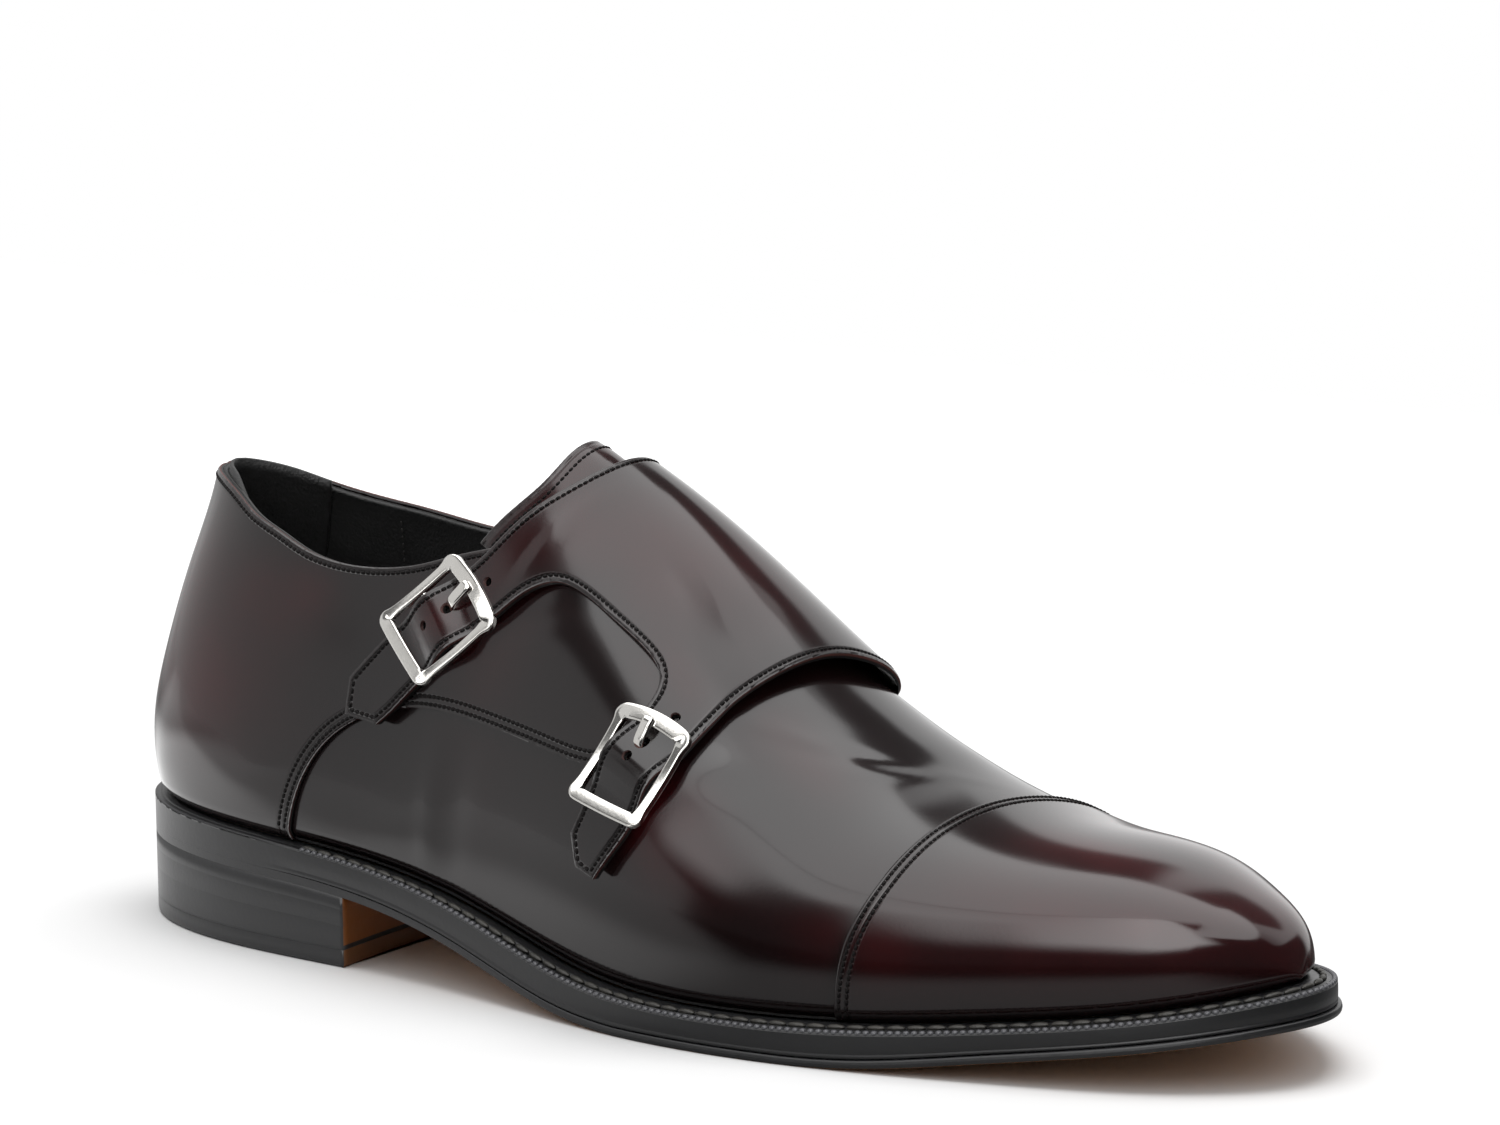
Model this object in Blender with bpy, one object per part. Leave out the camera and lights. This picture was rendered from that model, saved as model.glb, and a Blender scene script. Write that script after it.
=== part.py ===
"""Right shoe of a double monk strap pair: cap toe, leather sole, two buckles.

Built about the last.  Every leather piece lies at its own depth from one
surface, surface(x, t): x runs forward from the back of the heel, t runs over
the foot from the lateral feather line (-1) by the crest (0) to the medial
feather line (+1).  Sizes are in millimetres and become metres at the end.
"""
import math

import bmesh
import bpy
import numpy as np
from mathutils import Vector

MM = 0.001

# ---------------------------------------------------------------- sizes (mm)
LENGTH = 294.0              # feather line, heel back to toe tip
WALL = 2.0                  # upper: leather with its lining
OVERLAY = 1.2               # toe cap and quarter
STRAP = 2.1                 # flap and straps, lined
TONGUE = 2.5
FIT = 0.3                   # gap between neighbouring pieces
LAYER_FIT = 0.4             # gap between layers of leather

UPPER_OUT = -0.75           # depth of the upper's face from surface()
UPPER_IN = UPPER_OUT - WALL
OVER_IN = UPPER_OUT + LAYER_FIT
OVER_OUT = OVER_IN + OVERLAY
FLAP_IN = OVER_OUT + LAYER_FIT
TONGUE_OUT = UPPER_IN - 2.0 * LAYER_FIT
TONGUE_IN = TONGUE_OUT - TONGUE

VAMP_X = 164.0              # front of the throat
BREAST_X = 75.0             # front face of the heel
LIFT = 4.0                  # top lift
WELT_INSET = 4.6            # inner edge of the welt inside the feather line
INSOLE_TOP = 2.5            # insole above the feather line
LIP = 0.9                   # outsole proud of the welt at the toe

BUCKLE_LONG = 23.0          # along the strap
BUCKLE_WIDE = 19.5          # across the strap
BUCKLE_BAR = 2.8            # width of the frame's bars
BUCKLE_THICK = 2.1
STRAP_HALF = 6.2            # half width of a strap inside its buckle
BAR_D = 1.6                 # centre bar
BAR_H = 2.8                 # height of the centre bar over surface()
FRAME_H = 4.85              # height of the frame's cross bars
FRAME_DIP = 1.0             # the frame's sides dip by this at the middle
HUMP = 2.75                 # rise of the strap over the centre bar
PRONG_D = 1.7
HOLE_D = 2.6

# feather line of the last in plan: place, x, y (y to the wearer's left)
OUTLINE = (
    ("heel back", 0.0, 0.0),
    ("heel back lateral", 11.0, -19.2),
    ("heel lateral", 42.0, -30.8),
    ("waist back lateral", 85.0, -33.2),
    ("waist lateral", 125.0, -38.0),
    ("ball back lateral", 165.0, -43.4),
    ("ball lateral", 203.0, -40.5),
    ("toe back lateral", 240.0, -30.5),
    ("toe lateral", 270.0, -19.8),
    ("toe corner lateral", 287.0, -8.0),
    ("toe tip", 294.0, 5.0),
    ("toe corner medial", 287.5, 18.5),
    ("toe medial", 272.0, 31.5),
    ("toe back medial", 252.0, 40.0),
    ("ball medial", 222.0, 46.0),
    ("ball back medial", 185.0, 43.5),
    ("waist medial", 135.0, 30.5),
    ("waist back medial", 90.0, 27.5),
    ("heel medial", 42.0, 31.0),
    ("heel back medial", 11.0, 19.5),
)
# crest of the last in side view, toe tip to cone: x, z
CREST = (
    (294.0, 19.8), (291.6, 27.8), (281.0, 35.3), (262.0, 41.6), (238.0, 45.0), (205.0, 53.5),
    (175.0, 73.3), (145.0, 98.5), (118.0, 114.0), (95.0, 121.0), (60.0, 128.0), (-4.0, 131.0),
)
# height of the feather line over the floor: x, z
FEATHER = (
    (-8.0, 27.7), (0.0, 27.6), (40.0, 26.4), (78.0, 23.8), (110.0, 18.3), (145.0, 9.9),
    (180.0, 7.8), (215.0, 8.9), (245.0, 11.7), (270.0, 15.0), (294.0, 19.8), (304.0, 22.1),
)
# sections: x, crest y, wall bulge, wall rise, shoulder width, shoulder height
SECTION = (
    (0.0, 0.0, 2.2, 0.20, 0.78, 0.59),
    (40.0, 0.0, 3.0, 0.20, 0.80, 0.62),
    (80.0, 1.0, 2.0, 0.22, 0.80, 0.64),
    (120.0, 3.0, 2.5, 0.28, 0.81, 0.73),
    (160.0, 5.0, 3.0, 0.36, 0.84, 0.81),
    (200.0, 5.0, 3.4, 0.42, 0.87, 0.845),
    (240.0, 4.0, 3.0, 0.46, 0.89, 0.885),
    (270.0, 4.0, 2.0, 0.50, 0.91, 0.91),
    (294.0, 5.0, 0.5, 0.50, 0.95, 0.95),
)
# back curve of the heel: z, x
BACK = (
    (20.0, 1.2), (27.0, 0.0), (42.0, -1.8), (60.0, 1.4), (80.0, 7.8), (98.0, 14.4), (130.0, 15.0),
)
# welt: x, margin beyond the feather line, thickness, fall of its outer edge
WELT = (
    (0.0, 2.4, 5.2, 0.1),
    (60.0, 2.5, 5.2, 0.2),
    (100.0, 3.4, 5.2, 0.4),
    (150.0, 4.8, 5.2, 0.5),
    (215.0, 5.6, 5.0, 0.6),
    (250.0, 5.6, 4.2, 0.6),
    (294.0, 5.4, 3.3, 0.6),
    (304.0, 5.4, 3.1, 0.6),
)
# tread of the outsole: x, z
TREAD = (
    (-3.0, 18.8), (40.0, 17.7), (78.0, 15.4), (110.0, 9.3), (140.0, 1.8),
    (162.0, -0.2), (190.0, -0.3), (213.0, -0.1), (240.0, 2.8), (270.0, 7.0), (301.0, 12.6),
)
# top edge of the upper: collar, then the throat down to the vamp point: x, t
TOP_LATERAL = (
    (0.0, -0.400), (9.4, -0.410), (21.0, -0.435), (32.0, -0.460), (45.0, -0.480), (57.0, -0.500),
    (70.0, -0.505), (80.0, -0.495), (89.0, -0.475), (97.0, -0.447), (106.0, -0.415),
    (120.0, -0.360), (138.0, -0.300), (152.0, -0.225), (161.0, -0.120), (VAMP_X, 0.0),
)
TOP_MEDIAL = (
    (0.0, 0.400), (9.4, 0.420), (21.0, 0.450), (35.0, 0.470), (50.0, 0.478), (68.0, 0.480),
    (80.0, 0.475), (90.0, 0.465), (98.0, 0.448), (106.0, 0.415),
    (120.0, 0.355), (138.0, 0.295), (152.0, 0.220), (161.0, 0.120), (VAMP_X, 0.0),
)
# edge of the toe cap over the vamp: x, t
CAP_EDGE = (
    (210.0, -1.000), (211.8, -0.890), (213.8, -0.765), (216.6, -0.600), (218.8, -0.410),
    (220.2, -0.230), (222.0, -0.045), (224.5, 0.165), (226.5, 0.400), (227.5, 0.650), (226.5, 1.000),
)
# front edge of the quarter: from the welt up behind the strap, then forward: x, |t|
QUARTER_EDGE = (
    (58.2, 1.000), (60.0, 0.950), (64.0, 0.885), (70.0, 0.820), (78.5, 0.762), (91.0, 0.720),
    (103.0, 0.711), (119.0, 0.710), (134.0, 0.704), (147.0, 0.685),
)
QUARTER_FRONT = ((157.0, 0.620), (163.0, 0.520), (166.5, 0.410), (167.3, 0.290), (165.0, 0.190))
# buckles: name, x, t, then the strap's direction toward the instep
BUCKLES = (
    ("upper", 98.7, -0.560, (0.75, 0.17, 0.64)),
    ("lower", 157.6, -0.632, (0.44, 0.41, 0.80)),
)
# flap edges between the straps' straight runs: x, t
FLAP_TOP = (
    (98.3, 0.448), (106.0, 0.412), (114.0, 0.345), (121.5, 0.245), (126.5, 0.130), (127.8, 0.010),
    (126.0, -0.120), (121.5, -0.230), (114.5, -0.335),
)
TIP_UPPER = ((76.0, -0.690), (74.2, -0.740), (76.0, -0.772), (85.0, -0.768))
WINDOW = (
    (115.6, -0.517), (120.7, -0.468), (126.0, -0.428), (130.0, -0.413), (136.0, -0.410), (144.0, -0.415),
    (152.5, -0.420), (156.6, -0.435), (158.3, -0.470),
)
TIP_LOWER = ((144.5, -0.790), (146.6, -0.845), (150.2, -0.862), (156.0, -0.820))
FLAP_FRONT = (
    (170.6, -0.490), (172.0, -0.380), (173.4, -0.275), (174.8, -0.135), (175.8, 0.010), (176.2, 0.150),
    (175.6, 0.290), (172.5, 0.430), (166.0, 0.560), (157.5, 0.650), (147.0, 0.692),
)
FLAP_SEAM = ((134.0, 0.704), (119.0, 0.710), (103.0, 0.711), (98.3, 0.714))


# ------------------------------------------------------------------- curves
def spline(ts, vs, at, cyclic=False):
    """Cubic curve with even curvature through vs at ts."""
    ts = np.asarray(ts, float)
    vs = np.asarray(vs, float)
    flat = vs.ndim == 1
    if flat:
        vs = vs[:, None]
    n = len(vs)
    h = np.diff(ts)
    a = np.eye(n)
    b = np.zeros((n, vs.shape[1]))
    first, last = (0, n) if cyclic else (1, n - 1)
    for i in range(first, last):
        before, after = h[i - 1], h[i]
        prev, nxt = (i - 1) % n, (i + 1) % n
        a[i] = 0.0
        a[i, prev] += before
        a[i, i] += 2.0 * (before + after)
        a[i, nxt] += after
        b[i] = 6.0 * ((vs[nxt] - vs[i]) / after - (vs[i] - vs[prev]) / before)
    m = np.linalg.solve(a, b)
    if cyclic:
        vs = np.vstack([vs, vs[:1]])
        m = np.vstack([m, m[:1]])
    at = np.asarray(at, float)
    i = np.clip(np.searchsorted(ts, at, side="right") - 1, 0, len(ts) - 2)
    hh = (ts[i + 1] - ts[i])[..., None]
    p = (ts[i + 1] - at)[..., None] / hh
    q = (at - ts[i])[..., None] / hh
    out = p * vs[i] + q * vs[i + 1] + ((p ** 3 - p) * m[i] + (q ** 3 - q) * m[i + 1]) * hh ** 2 / 6.0
    return out[..., 0] if flat else out


def smooth_curve(points, count, cyclic=False):
    """Curve through the points, with the spacing of its knots following their chords."""
    p = np.asarray(points, float)
    loop = np.vstack([p, p[:1]]) if cyclic else p
    knots = np.concatenate([[0.0], np.cumsum(np.sqrt(np.linalg.norm(np.diff(loop, axis=0), axis=1)))])
    return spline(knots, p, np.linspace(0.0, knots[-1], count), cyclic)


def column(table, x, col=1):
    rows = np.array(table, float)
    return spline(rows[:, 0], rows[:, col], np.clip(x, rows[0, 0], rows[-1, 0]))


def edge_at(points, x):
    """Height t of a plan edge at x, read along a smooth curve through its points."""
    c = smooth_curve(points, 400)
    return np.interp(x, np.maximum.accumulate(c[:, 0]), c[:, 1])


# ----------------------------------------------------------------- the last
def make_outline():
    c = smooth_curve([row[1:] for row in OUTLINE], 1601, True)[:-1]
    return np.roll(c, -int(np.argmin(c[:, 0])), axis=0)


PLAN = make_outline()
TIP = int(np.argmax(PLAN[:, 0]))
SIDE_LATERAL = PLAN[:TIP + 1]
SIDE_MEDIAL = np.vstack([PLAN[TIP:], PLAN[:1]])[::-1]
X_BACK = PLAN[0, 0]
X_TIP = PLAN[TIP, 0]
CREST_CURVE = smooth_curve(CREST, 1200)[::-1]
KNOTS = (0, 0, 0, 0, 1, 2, 3, 4, 4, 4, 4)


def angle_of(x):
    """0 at the heel back, pi at the toe tip: even steps here close both ends roundly."""
    return np.arccos(1.0 - 2.0 * np.clip((x - X_BACK) / (X_TIP - X_BACK), 0.0, 1.0))


def x_of(angle):
    return X_BACK + (X_TIP - X_BACK) * (1.0 - np.cos(angle)) / 2.0


def plan_y(side, x):
    return np.interp(angle_of(x), angle_of(side[:, 0]), side[:, 1])


def crest_z(x):
    reach = CREST_CURVE[:, 0].max()
    return np.interp(-np.sqrt(np.maximum(reach - x, 0.0)),
                     -np.sqrt(np.maximum(reach - CREST_CURVE[:, 0], 0.0)), CREST_CURVE[:, 1])


def weights(t):
    """Seven cubic weights over t from -1 to 1."""
    u = np.clip((np.asarray(t, float) + 1.0) * 2.0, 0.0, 4.0 - 1e-9)
    n = [np.where((u >= KNOTS[i]) & (u < KNOTS[i + 1]), 1.0, 0.0) for i in range(10)]
    for p in range(1, 4):
        row = []
        for i in range(10 - p):
            left, right = KNOTS[i + p] - KNOTS[i], KNOTS[i + p + 1] - KNOTS[i + 1]
            value = 0.0 * u
            if left:
                value = value + (u - KNOTS[i]) / left * n[i]
            if right:
                value = value + (KNOTS[i + p + 1] - u) / right * n[i + 1]
            row.append(value)
        n = row
    return np.stack(n, -1)


def surface(x, t):
    """Middle of the leather at x and t."""
    x, t = np.broadcast_arrays(np.asarray(x, float), np.asarray(t, float))
    t = np.where(x > X_TIP - 0.01, 0.0, t)
    yl, ym = plan_y(SIDE_LATERAL, x), plan_y(SIDE_MEDIAL, x)
    zf = column(FEATHER, x)
    high = crest_z(x) - zf
    cy = np.clip(column(SECTION, x, 1), yl, ym)
    bulge = column(SECTION, x, 2) * np.minimum((ym - yl) / 40.0, 1.0)
    rise, wide, tall = (column(SECTION, x, k) for k in (3, 4, 5))
    w = weights(t)
    mid = weights(0.0)
    z = [zf, zf + rise * high, zf + tall * high]
    top = (zf + high - (mid[2] + mid[4]) * z[2] - (mid[1] + mid[5]) * z[1]) / mid[3]
    ys = (yl, yl - bulge, cy + (yl - cy) * wide, cy, cy + (ym - cy) * wide, ym + bulge, ym)
    zs = (z[0], z[1], z[2], top, z[2], z[1], z[0])
    y = sum(w[..., i] * ys[i] for i in range(7))
    z = sum(w[..., i] * zs[i] for i in range(7))
    fade = np.clip(1.0 - (x - X_BACK) / 75.0, 0.0, 1.0)
    fade = fade * fade * (3.0 - 2.0 * fade)
    return np.stack([x + column(BACK, z) * fade, y, z], -1)


def outward(x, t):
    """Unit direction out of the leather, level along the feather line."""
    a = np.clip(angle_of(np.asarray(x, float)), 0.02, math.pi - 0.02)
    a, t = np.broadcast_arrays(a, np.asarray(t, float))
    e = 0.004
    lo, hi = np.clip(t - e, -1.0, 1.0), np.clip(t + e, -1.0, 1.0)
    along = surface(x_of(a + e), t) - surface(x_of(a - e), t)
    across = surface(x_of(a), hi) - surface(x_of(a), lo)
    n = np.cross(along, across)
    n /= np.linalg.norm(n, axis=-1, keepdims=True)
    level = np.clip((1.0 - np.abs(t)) / 0.12, 0.0, 1.0)
    n[..., 2] *= level * level * (3.0 - 2.0 * level)
    x = np.broadcast_to(np.asarray(x, float), n.shape[:-1])
    n[..., 1] = np.where(x < X_BACK + 0.01, 0.0, n[..., 1])
    n = np.where((x > X_TIP - 0.01)[..., None], np.array([1.0, 0.0, 0.0]), n)
    return n / np.linalg.norm(n, axis=-1, keepdims=True)


def lay(x, t, h):
    """Point at depth h from the surface."""
    return surface(x, t) + outward(x, t) * np.asarray(h, float)[..., None]


# ------------------------------------------------------------ mesh building
def finish(name, bm, smooth=True):
    bmesh.ops.remove_doubles(bm, verts=bm.verts, dist=0.002)
    bmesh.ops.recalc_face_normals(bm, faces=bm.faces)
    bmesh.ops.scale(bm, vec=(MM, MM, MM), verts=bm.verts)
    mesh = bpy.data.meshes.new(name)
    bm.to_mesh(mesh)
    bm.free()
    mesh.polygons.foreach_set("use_smooth", [smooth] * len(mesh.polygons))
    obj = bpy.data.objects.new(name, mesh)
    SHOE.objects.link(obj)
    return obj


def thicken(flat, place, seam=lambda a, b: False):
    """Solid from a flat sheet: place(points, side) gives its inner and outer faces."""
    flat.verts.ensure_lookup_table()
    pts = np.array([v.co[:2] for v in flat.verts])
    solid = bmesh.new()
    layers = [[solid.verts.new(p) for p in place(pts, side)] for side in (0, 1)]
    for f in flat.faces:
        ids = [v.index for v in f.verts]
        solid.faces.new([layers[1][i] for i in ids])
        solid.faces.new([layers[0][i] for i in reversed(ids)])
    for e in flat.edges:
        if len(e.link_faces) != 1:
            continue
        a, b = e.verts[0].index, e.verts[1].index
        if seam(pts[a], pts[b]):
            continue
        solid.faces.new([layers[0][a], layers[0][b], layers[1][b], layers[1][a]])
    flat.free()
    return solid


def grid_sheet(columns, rows):
    """Sheet of quads; columns[i][j] is the flat place of row j in column i."""
    bm = bmesh.new()
    net = [[bm.verts.new((p[0], p[1], 0.0)) for p in col] for col in columns]
    for i in range(len(net) - 1):
        for j in range(rows - 1):
            bm.faces.new([net[i][j], net[i + 1][j], net[i + 1][j + 1], net[i][j + 1]])
    return bm


def cut_sheet(outline, cuts_x, cuts_y, folds=()):
    """Flat piece with the given outline, crossed by straight lines so that it can bend.

    Each fold is a short slanted line: its place, its normal and how far it reaches."""
    bm = bmesh.new()
    bm.faces.new([bm.verts.new((p[0], p[1], 0.0)) for p in outline])
    for axis, cuts in ((0, cuts_x), (1, cuts_y)):
        normal = (1.0, 0.0, 0.0) if axis == 0 else (0.0, 1.0, 0.0)
        for c in cuts:
            spot = (c, 0.0, 0.0) if axis == 0 else (0.0, c, 0.0)
            geom = bm.verts[:] + bm.edges[:] + bm.faces[:]
            bmesh.ops.bisect_plane(bm, geom=geom, plane_co=spot, plane_no=normal, dist=1e-4)
    for spot, normal, middle, reach in folds:
        faces = [f for f in bm.faces if (f.calc_center_median() - Vector(middle)).length < reach]
        geom = set(faces)
        for f in faces:
            geom.update(f.edges)
            geom.update(f.verts)
        bmesh.ops.bisect_plane(bm, geom=list(geom), plane_co=spot, plane_no=normal, dist=1e-4)
    bmesh.ops.triangulate(bm, faces=[f for f in bm.faces if len(f.verts) > 4])
    bm.normal_update()
    bm.verts.index_update()
    return bm


T_MM = 110.0                # flat patterns: one unit of t is about this long


def pattern(*runs, step=4.5):
    """Closed outline from runs of (x, t) points; each run is smooth, runs meet in corners."""
    out = []
    for run in runs:
        p = np.array(run, float) * (1.0, T_MM)
        length = np.linalg.norm(np.diff(p, axis=0), axis=1).sum()
        count = max(2, int(round(length / step)) + 1)
        curve = smooth_curve(p, count) if len(p) > 2 else np.linspace(p[0], p[1], count)
        if out and np.linalg.norm(curve[0] - out[-1]) < 0.2:
            curve = curve[1:]
        out.extend(curve)
    if np.linalg.norm(out[0] - out[-1]) < 0.2:
        out.pop()
    return out


# ------------------------------------------------------------ leather pieces
BACK_COLUMNS = x_of(np.linspace(0.0, float(angle_of(VAMP_X)), 19))
FORE_COLUMNS = x_of(np.linspace(float(angle_of(VAMP_X)), math.pi, 18))
ROWS = 12


def make_upper():
    """Vamp, quarters and their lining as one shell, open at the collar and beneath."""
    xs = np.concatenate([BACK_COLUMNS[:-1], [VAMP_X - 3.5], FORE_COLUMNS])
    rows = ROWS
    bm = bmesh.new()
    for side, top in ((-1.0, TOP_LATERAL), (1.0, TOP_MEDIAL)):
        columns = []
        for x in xs:
            end = float(edge_at(top, x)) if x < VAMP_X else 0.0
            share = np.linspace(0.0, 1.0, rows)
            columns.append([(x, (side + (end - side) * s) * T_MM) for s in share])
        net = [[bm.verts.new((p[0], p[1], 0.0)) for p in col] for col in columns]
        for i in range(len(net) - 1):
            for j in range(rows - 1):
                quad = [net[i][j], net[i + 1][j], net[i + 1][j + 1], net[i][j + 1]]
                bm.faces.new(quad if side < 0 else quad[::-1])
    bmesh.ops.remove_doubles(bm, verts=bm.verts, dist=0.01)
    bm.verts.index_update()

    def place(p, side):
        return lay(p[:, 0], p[:, 1] / T_MM, np.full(len(p), (UPPER_IN, UPPER_OUT)[side]))

    def seam(a, b):
        return (max(a[0], b[0]) < 0.01) or (min(a[0], b[0]) > X_TIP - 0.01)

    return finish("upper", thicken(bm, place, seam))


def make_toe_cap():
    """Cap laid over the front of the vamp."""
    ts = np.concatenate([np.linspace(-1.0, 0.0, ROWS), np.linspace(0.0, 1.0, ROWS)[1:]])
    edge = smooth_curve([(t, x) for x, t in CAP_EDGE], 300)
    start = np.interp(ts, edge[:, 0], edge[:, 1])
    xs = [x for x in FORE_COLUMNS if x > 231.0]
    columns = [[(x, t * T_MM) for x, t in zip(start, ts)]]
    columns += [[(x, t * T_MM) for t in ts] for x in xs]
    bm = grid_sheet(columns, len(ts))
    bm.verts.index_update()

    def place(p, side):
        return lay(p[:, 0], p[:, 1] / T_MM, np.full(len(p), (OVER_IN, OVER_OUT)[side]))

    return finish("toe_cap", thicken(bm, place, lambda a, b: min(a[0], b[0]) > X_TIP - 0.01))


def make_quarter():
    """Back of the shoe: lateral quarter forward to the throat, round the heel to the flap's seam."""
    throat = [(x, -t) for x, t in TOP_LATERAL if x < VAMP_X - 2.0]
    lateral = [(-x, q) for x, q in QUARTER_EDGE + QUARTER_FRONT + tuple(throat[-1:])]
    top = [(-x, q) for x, q in throat[::-1]]
    top += [(x, t) for x, t in TOP_MEDIAL if 0.0 < x < 97.0] + [(98.0, 0.448)]
    medial = [(x, q) for x, q in QUARTER_EDGE if x < 97.0][::-1]
    outline = pattern(lateral, top, [(98.0, 0.448), (98.0, 0.714)], [(98.0, 0.714)] + medial,
                      [(58.2, 1.0), (-58.2, 1.0)], step=6.5)
    reach = [x for x in BACK_COLUMNS if 0.0 < x < VAMP_X - 4.0]
    cuts = [-x for x in reach] + [0.0] + [x for x in reach if x < 97.0]
    bm = cut_sheet(outline, cuts, [T_MM * q for q in np.arange(0.19, 0.99, 0.08)])

    def place(p, side):
        t = p[:, 1] / T_MM * np.where(p[:, 0] < 0.0, -1.0, 1.0)
        return lay(np.abs(p[:, 0]), t, np.full(len(p), (OVER_IN, OVER_OUT)[side]))

    return finish("quarter", thicken(bm, place))


class Buckle:
    """Local frame of a buckle: a along the strap toward the instep, b across it, in mm."""

    def __init__(self, name, x, t, direction):
        self.name, self.x, self.t = name, x, t
        e = 0.01
        jac = np.stack([(surface(x + 1.0, t) - surface(x - 1.0, t)) / 2.0,
                        (surface(x, t + e) - surface(x, t - e)) / (2.0 * e)], -1)
        n = outward(x, t)
        u = np.array(direction, float)
        u -= n * (u @ n)
        u /= np.linalg.norm(u)
        v = np.cross(n, u)
        self.solve = np.linalg.pinv(jac) @ np.stack([u, v], -1)

    def flat(self, a, b):
        d = self.solve @ np.array([a, b], float)
        return self.x + d[0], self.t + d[1]

    def local(self, x, t):
        """(a, b) of a flat place."""
        return np.linalg.solve(self.solve, np.stack([x - self.x, t - self.t]))

    def fold(self, a):
        """Line across the strap at a, for cut_sheet."""
        middle = np.array(self.flat(0.0, 0.0)) * (1.0, T_MM)
        spot = np.array(self.flat(a, 0.0)) * (1.0, T_MM)
        side = np.array(self.flat(a, 1.0)) * (1.0, T_MM) - spot
        return (*spot, 0.0), (side[1], -side[0], 0.0), (*middle, 0.0), 13.0

    def point(self, a, b, h):
        x, t = self.flat(a, b)
        return lay(x, t, h)


def hump(x, t):
    """Rise of the straps where they pass over the centre bars."""
    rise = np.zeros(len(x))
    for bk in SITES:
        a, b = bk.local(x, t)
        near = (np.abs(a) < 9.0) & (np.abs(b) < 9.0)
        rise = np.where(near, HUMP * np.cos(np.clip(a / 9.0, -1.0, 1.0) * math.pi / 2.0) ** 2, rise)
    return rise


def make_flap():
    """Front of the medial quarter: the flap over the instep and its two straps."""
    up, low = SITES
    w = STRAP_HALF
    upper_edge = list(FLAP_TOP) + [up.flat(15.0, w), up.flat(7.0, w), up.flat(0.0, w), up.flat(-7.0, w),
                                   up.flat(-14.0, w)]
    under = [up.flat(-14.0, -w), up.flat(-7.0, -w), up.flat(0.0, -w), up.flat(7.0, -w), up.flat(14.0, -w)]
    window = under + list(WINDOW) + [low.flat(8.0, w), low.flat(0.0, w), low.flat(-7.0, w), low.flat(-13.0, w)]
    front = [low.flat(-13.0, -w), low.flat(-7.0, -w), low.flat(0.0, -w), low.flat(7.0, -w), low.flat(12.5, -w)]
    outline = pattern(
        upper_edge + [TIP_UPPER[0], TIP_UPPER[1]], [TIP_UPPER[1], TIP_UPPER[2]],
        [TIP_UPPER[2], TIP_UPPER[3]] + window + [TIP_LOWER[0], TIP_LOWER[1]],
        [TIP_LOWER[1], TIP_LOWER[2]], [TIP_LOWER[2], TIP_LOWER[3]] + front + list(FLAP_FRONT),
        [FLAP_FRONT[-1]] + list(FLAP_SEAM), [FLAP_SEAM[-1], FLAP_TOP[0]], step=5.0)
    folds = [bk.fold(a) for bk in SITES for a in (-9.0, -5.0, -1.6, 1.6, 5.0, 9.0)]
    bm = cut_sheet(outline, np.arange(80.0, 176.0, 9.0), np.arange(-87.0, 78.0, 9.0), folds)

    def place(p, side):
        x, t = p[:, 0], p[:, 1] / T_MM
        over = np.clip((0.45 - t) / 0.70, 0.0, 1.0)
        over = over * over * (3.0 - 2.0 * over)
        low_face = OVER_IN + (FLAP_IN - OVER_IN) * over + hump(x, t)
        thick = OVERLAY + (STRAP - OVERLAY) * over
        return lay(x, t, low_face + thick * side)

    return finish("monk_flap", thicken(bm, place))


def make_tongue():
    """Tongue under the throat, its top standing above the flap."""
    outline = pattern([(104.0, -0.400), (112.0, -0.300), (117.0, -0.150), (118.5, 0.010), (117.0, 0.170),
                       (112.0, 0.310), (104.0, 0.400)],
                      [(104.0, 0.400), (120.0, 0.430), (140.0, 0.420), (160.0, 0.380), (172.0, 0.320)],
                      [(172.0, 0.320), (178.0, 0.180), (180.0, 0.0), (178.0, -0.180), (172.0, -0.320)],
                      [(172.0, -0.320), (160.0, -0.380), (140.0, -0.430), (120.0, -0.450), (104.0, -0.400)],
                      step=6.0)
    bm = cut_sheet(outline, np.arange(112.0, 176.0, 10.0), np.arange(-45.0, 46.0, 9.0))

    def place(p, side):
        return lay(p[:, 0], p[:, 1] / T_MM, np.full(len(p), (TONGUE_IN, TONGUE_OUT)[side]))

    return finish("tongue", thicken(bm, place))


# ------------------------------------------------------------------ the sole
def grown(margin):
    """Plan of the feather line moved out by margin(x)."""
    d = np.roll(PLAN, -1, 0) - np.roll(PLAN, 1, 0)
    n = np.stack([d[:, 1], -d[:, 0]], -1)
    n /= np.linalg.norm(n, axis=1)[:, None]
    if np.sum((PLAN - PLAN.mean(0)) * n) < 0.0:
        n = -n
    return PLAN + n * margin(PLAN[:, 0])[:, None]


def ring(margin, count=76):
    """Closed plan with points set closer at the toe and heel ends."""
    c = grown(margin)
    seg = np.linalg.norm(np.diff(np.vstack([c, c[:1]]), axis=0), axis=1)
    turn = np.linspace(0.0, 1.0, len(c) + 1)
    s = np.concatenate([[0.0], np.cumsum(seg)])
    s = s / s[-1]
    at = np.arange(count) / count
    wide = at - 0.45 * np.sin(4.0 * math.pi * at) / (4.0 * math.pi)
    place = np.interp(wide, s, turn) * len(c)
    return np.array([c[int(round(k)) % len(c)] for k in place])


def tread(x):
    return np.maximum(column(TREAD, x), 0.0)


def welt_top(x):
    return column(FEATHER, x) - FIT


def welt_bottom(x):
    return welt_top(x) - column(WELT, x, 2)


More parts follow.
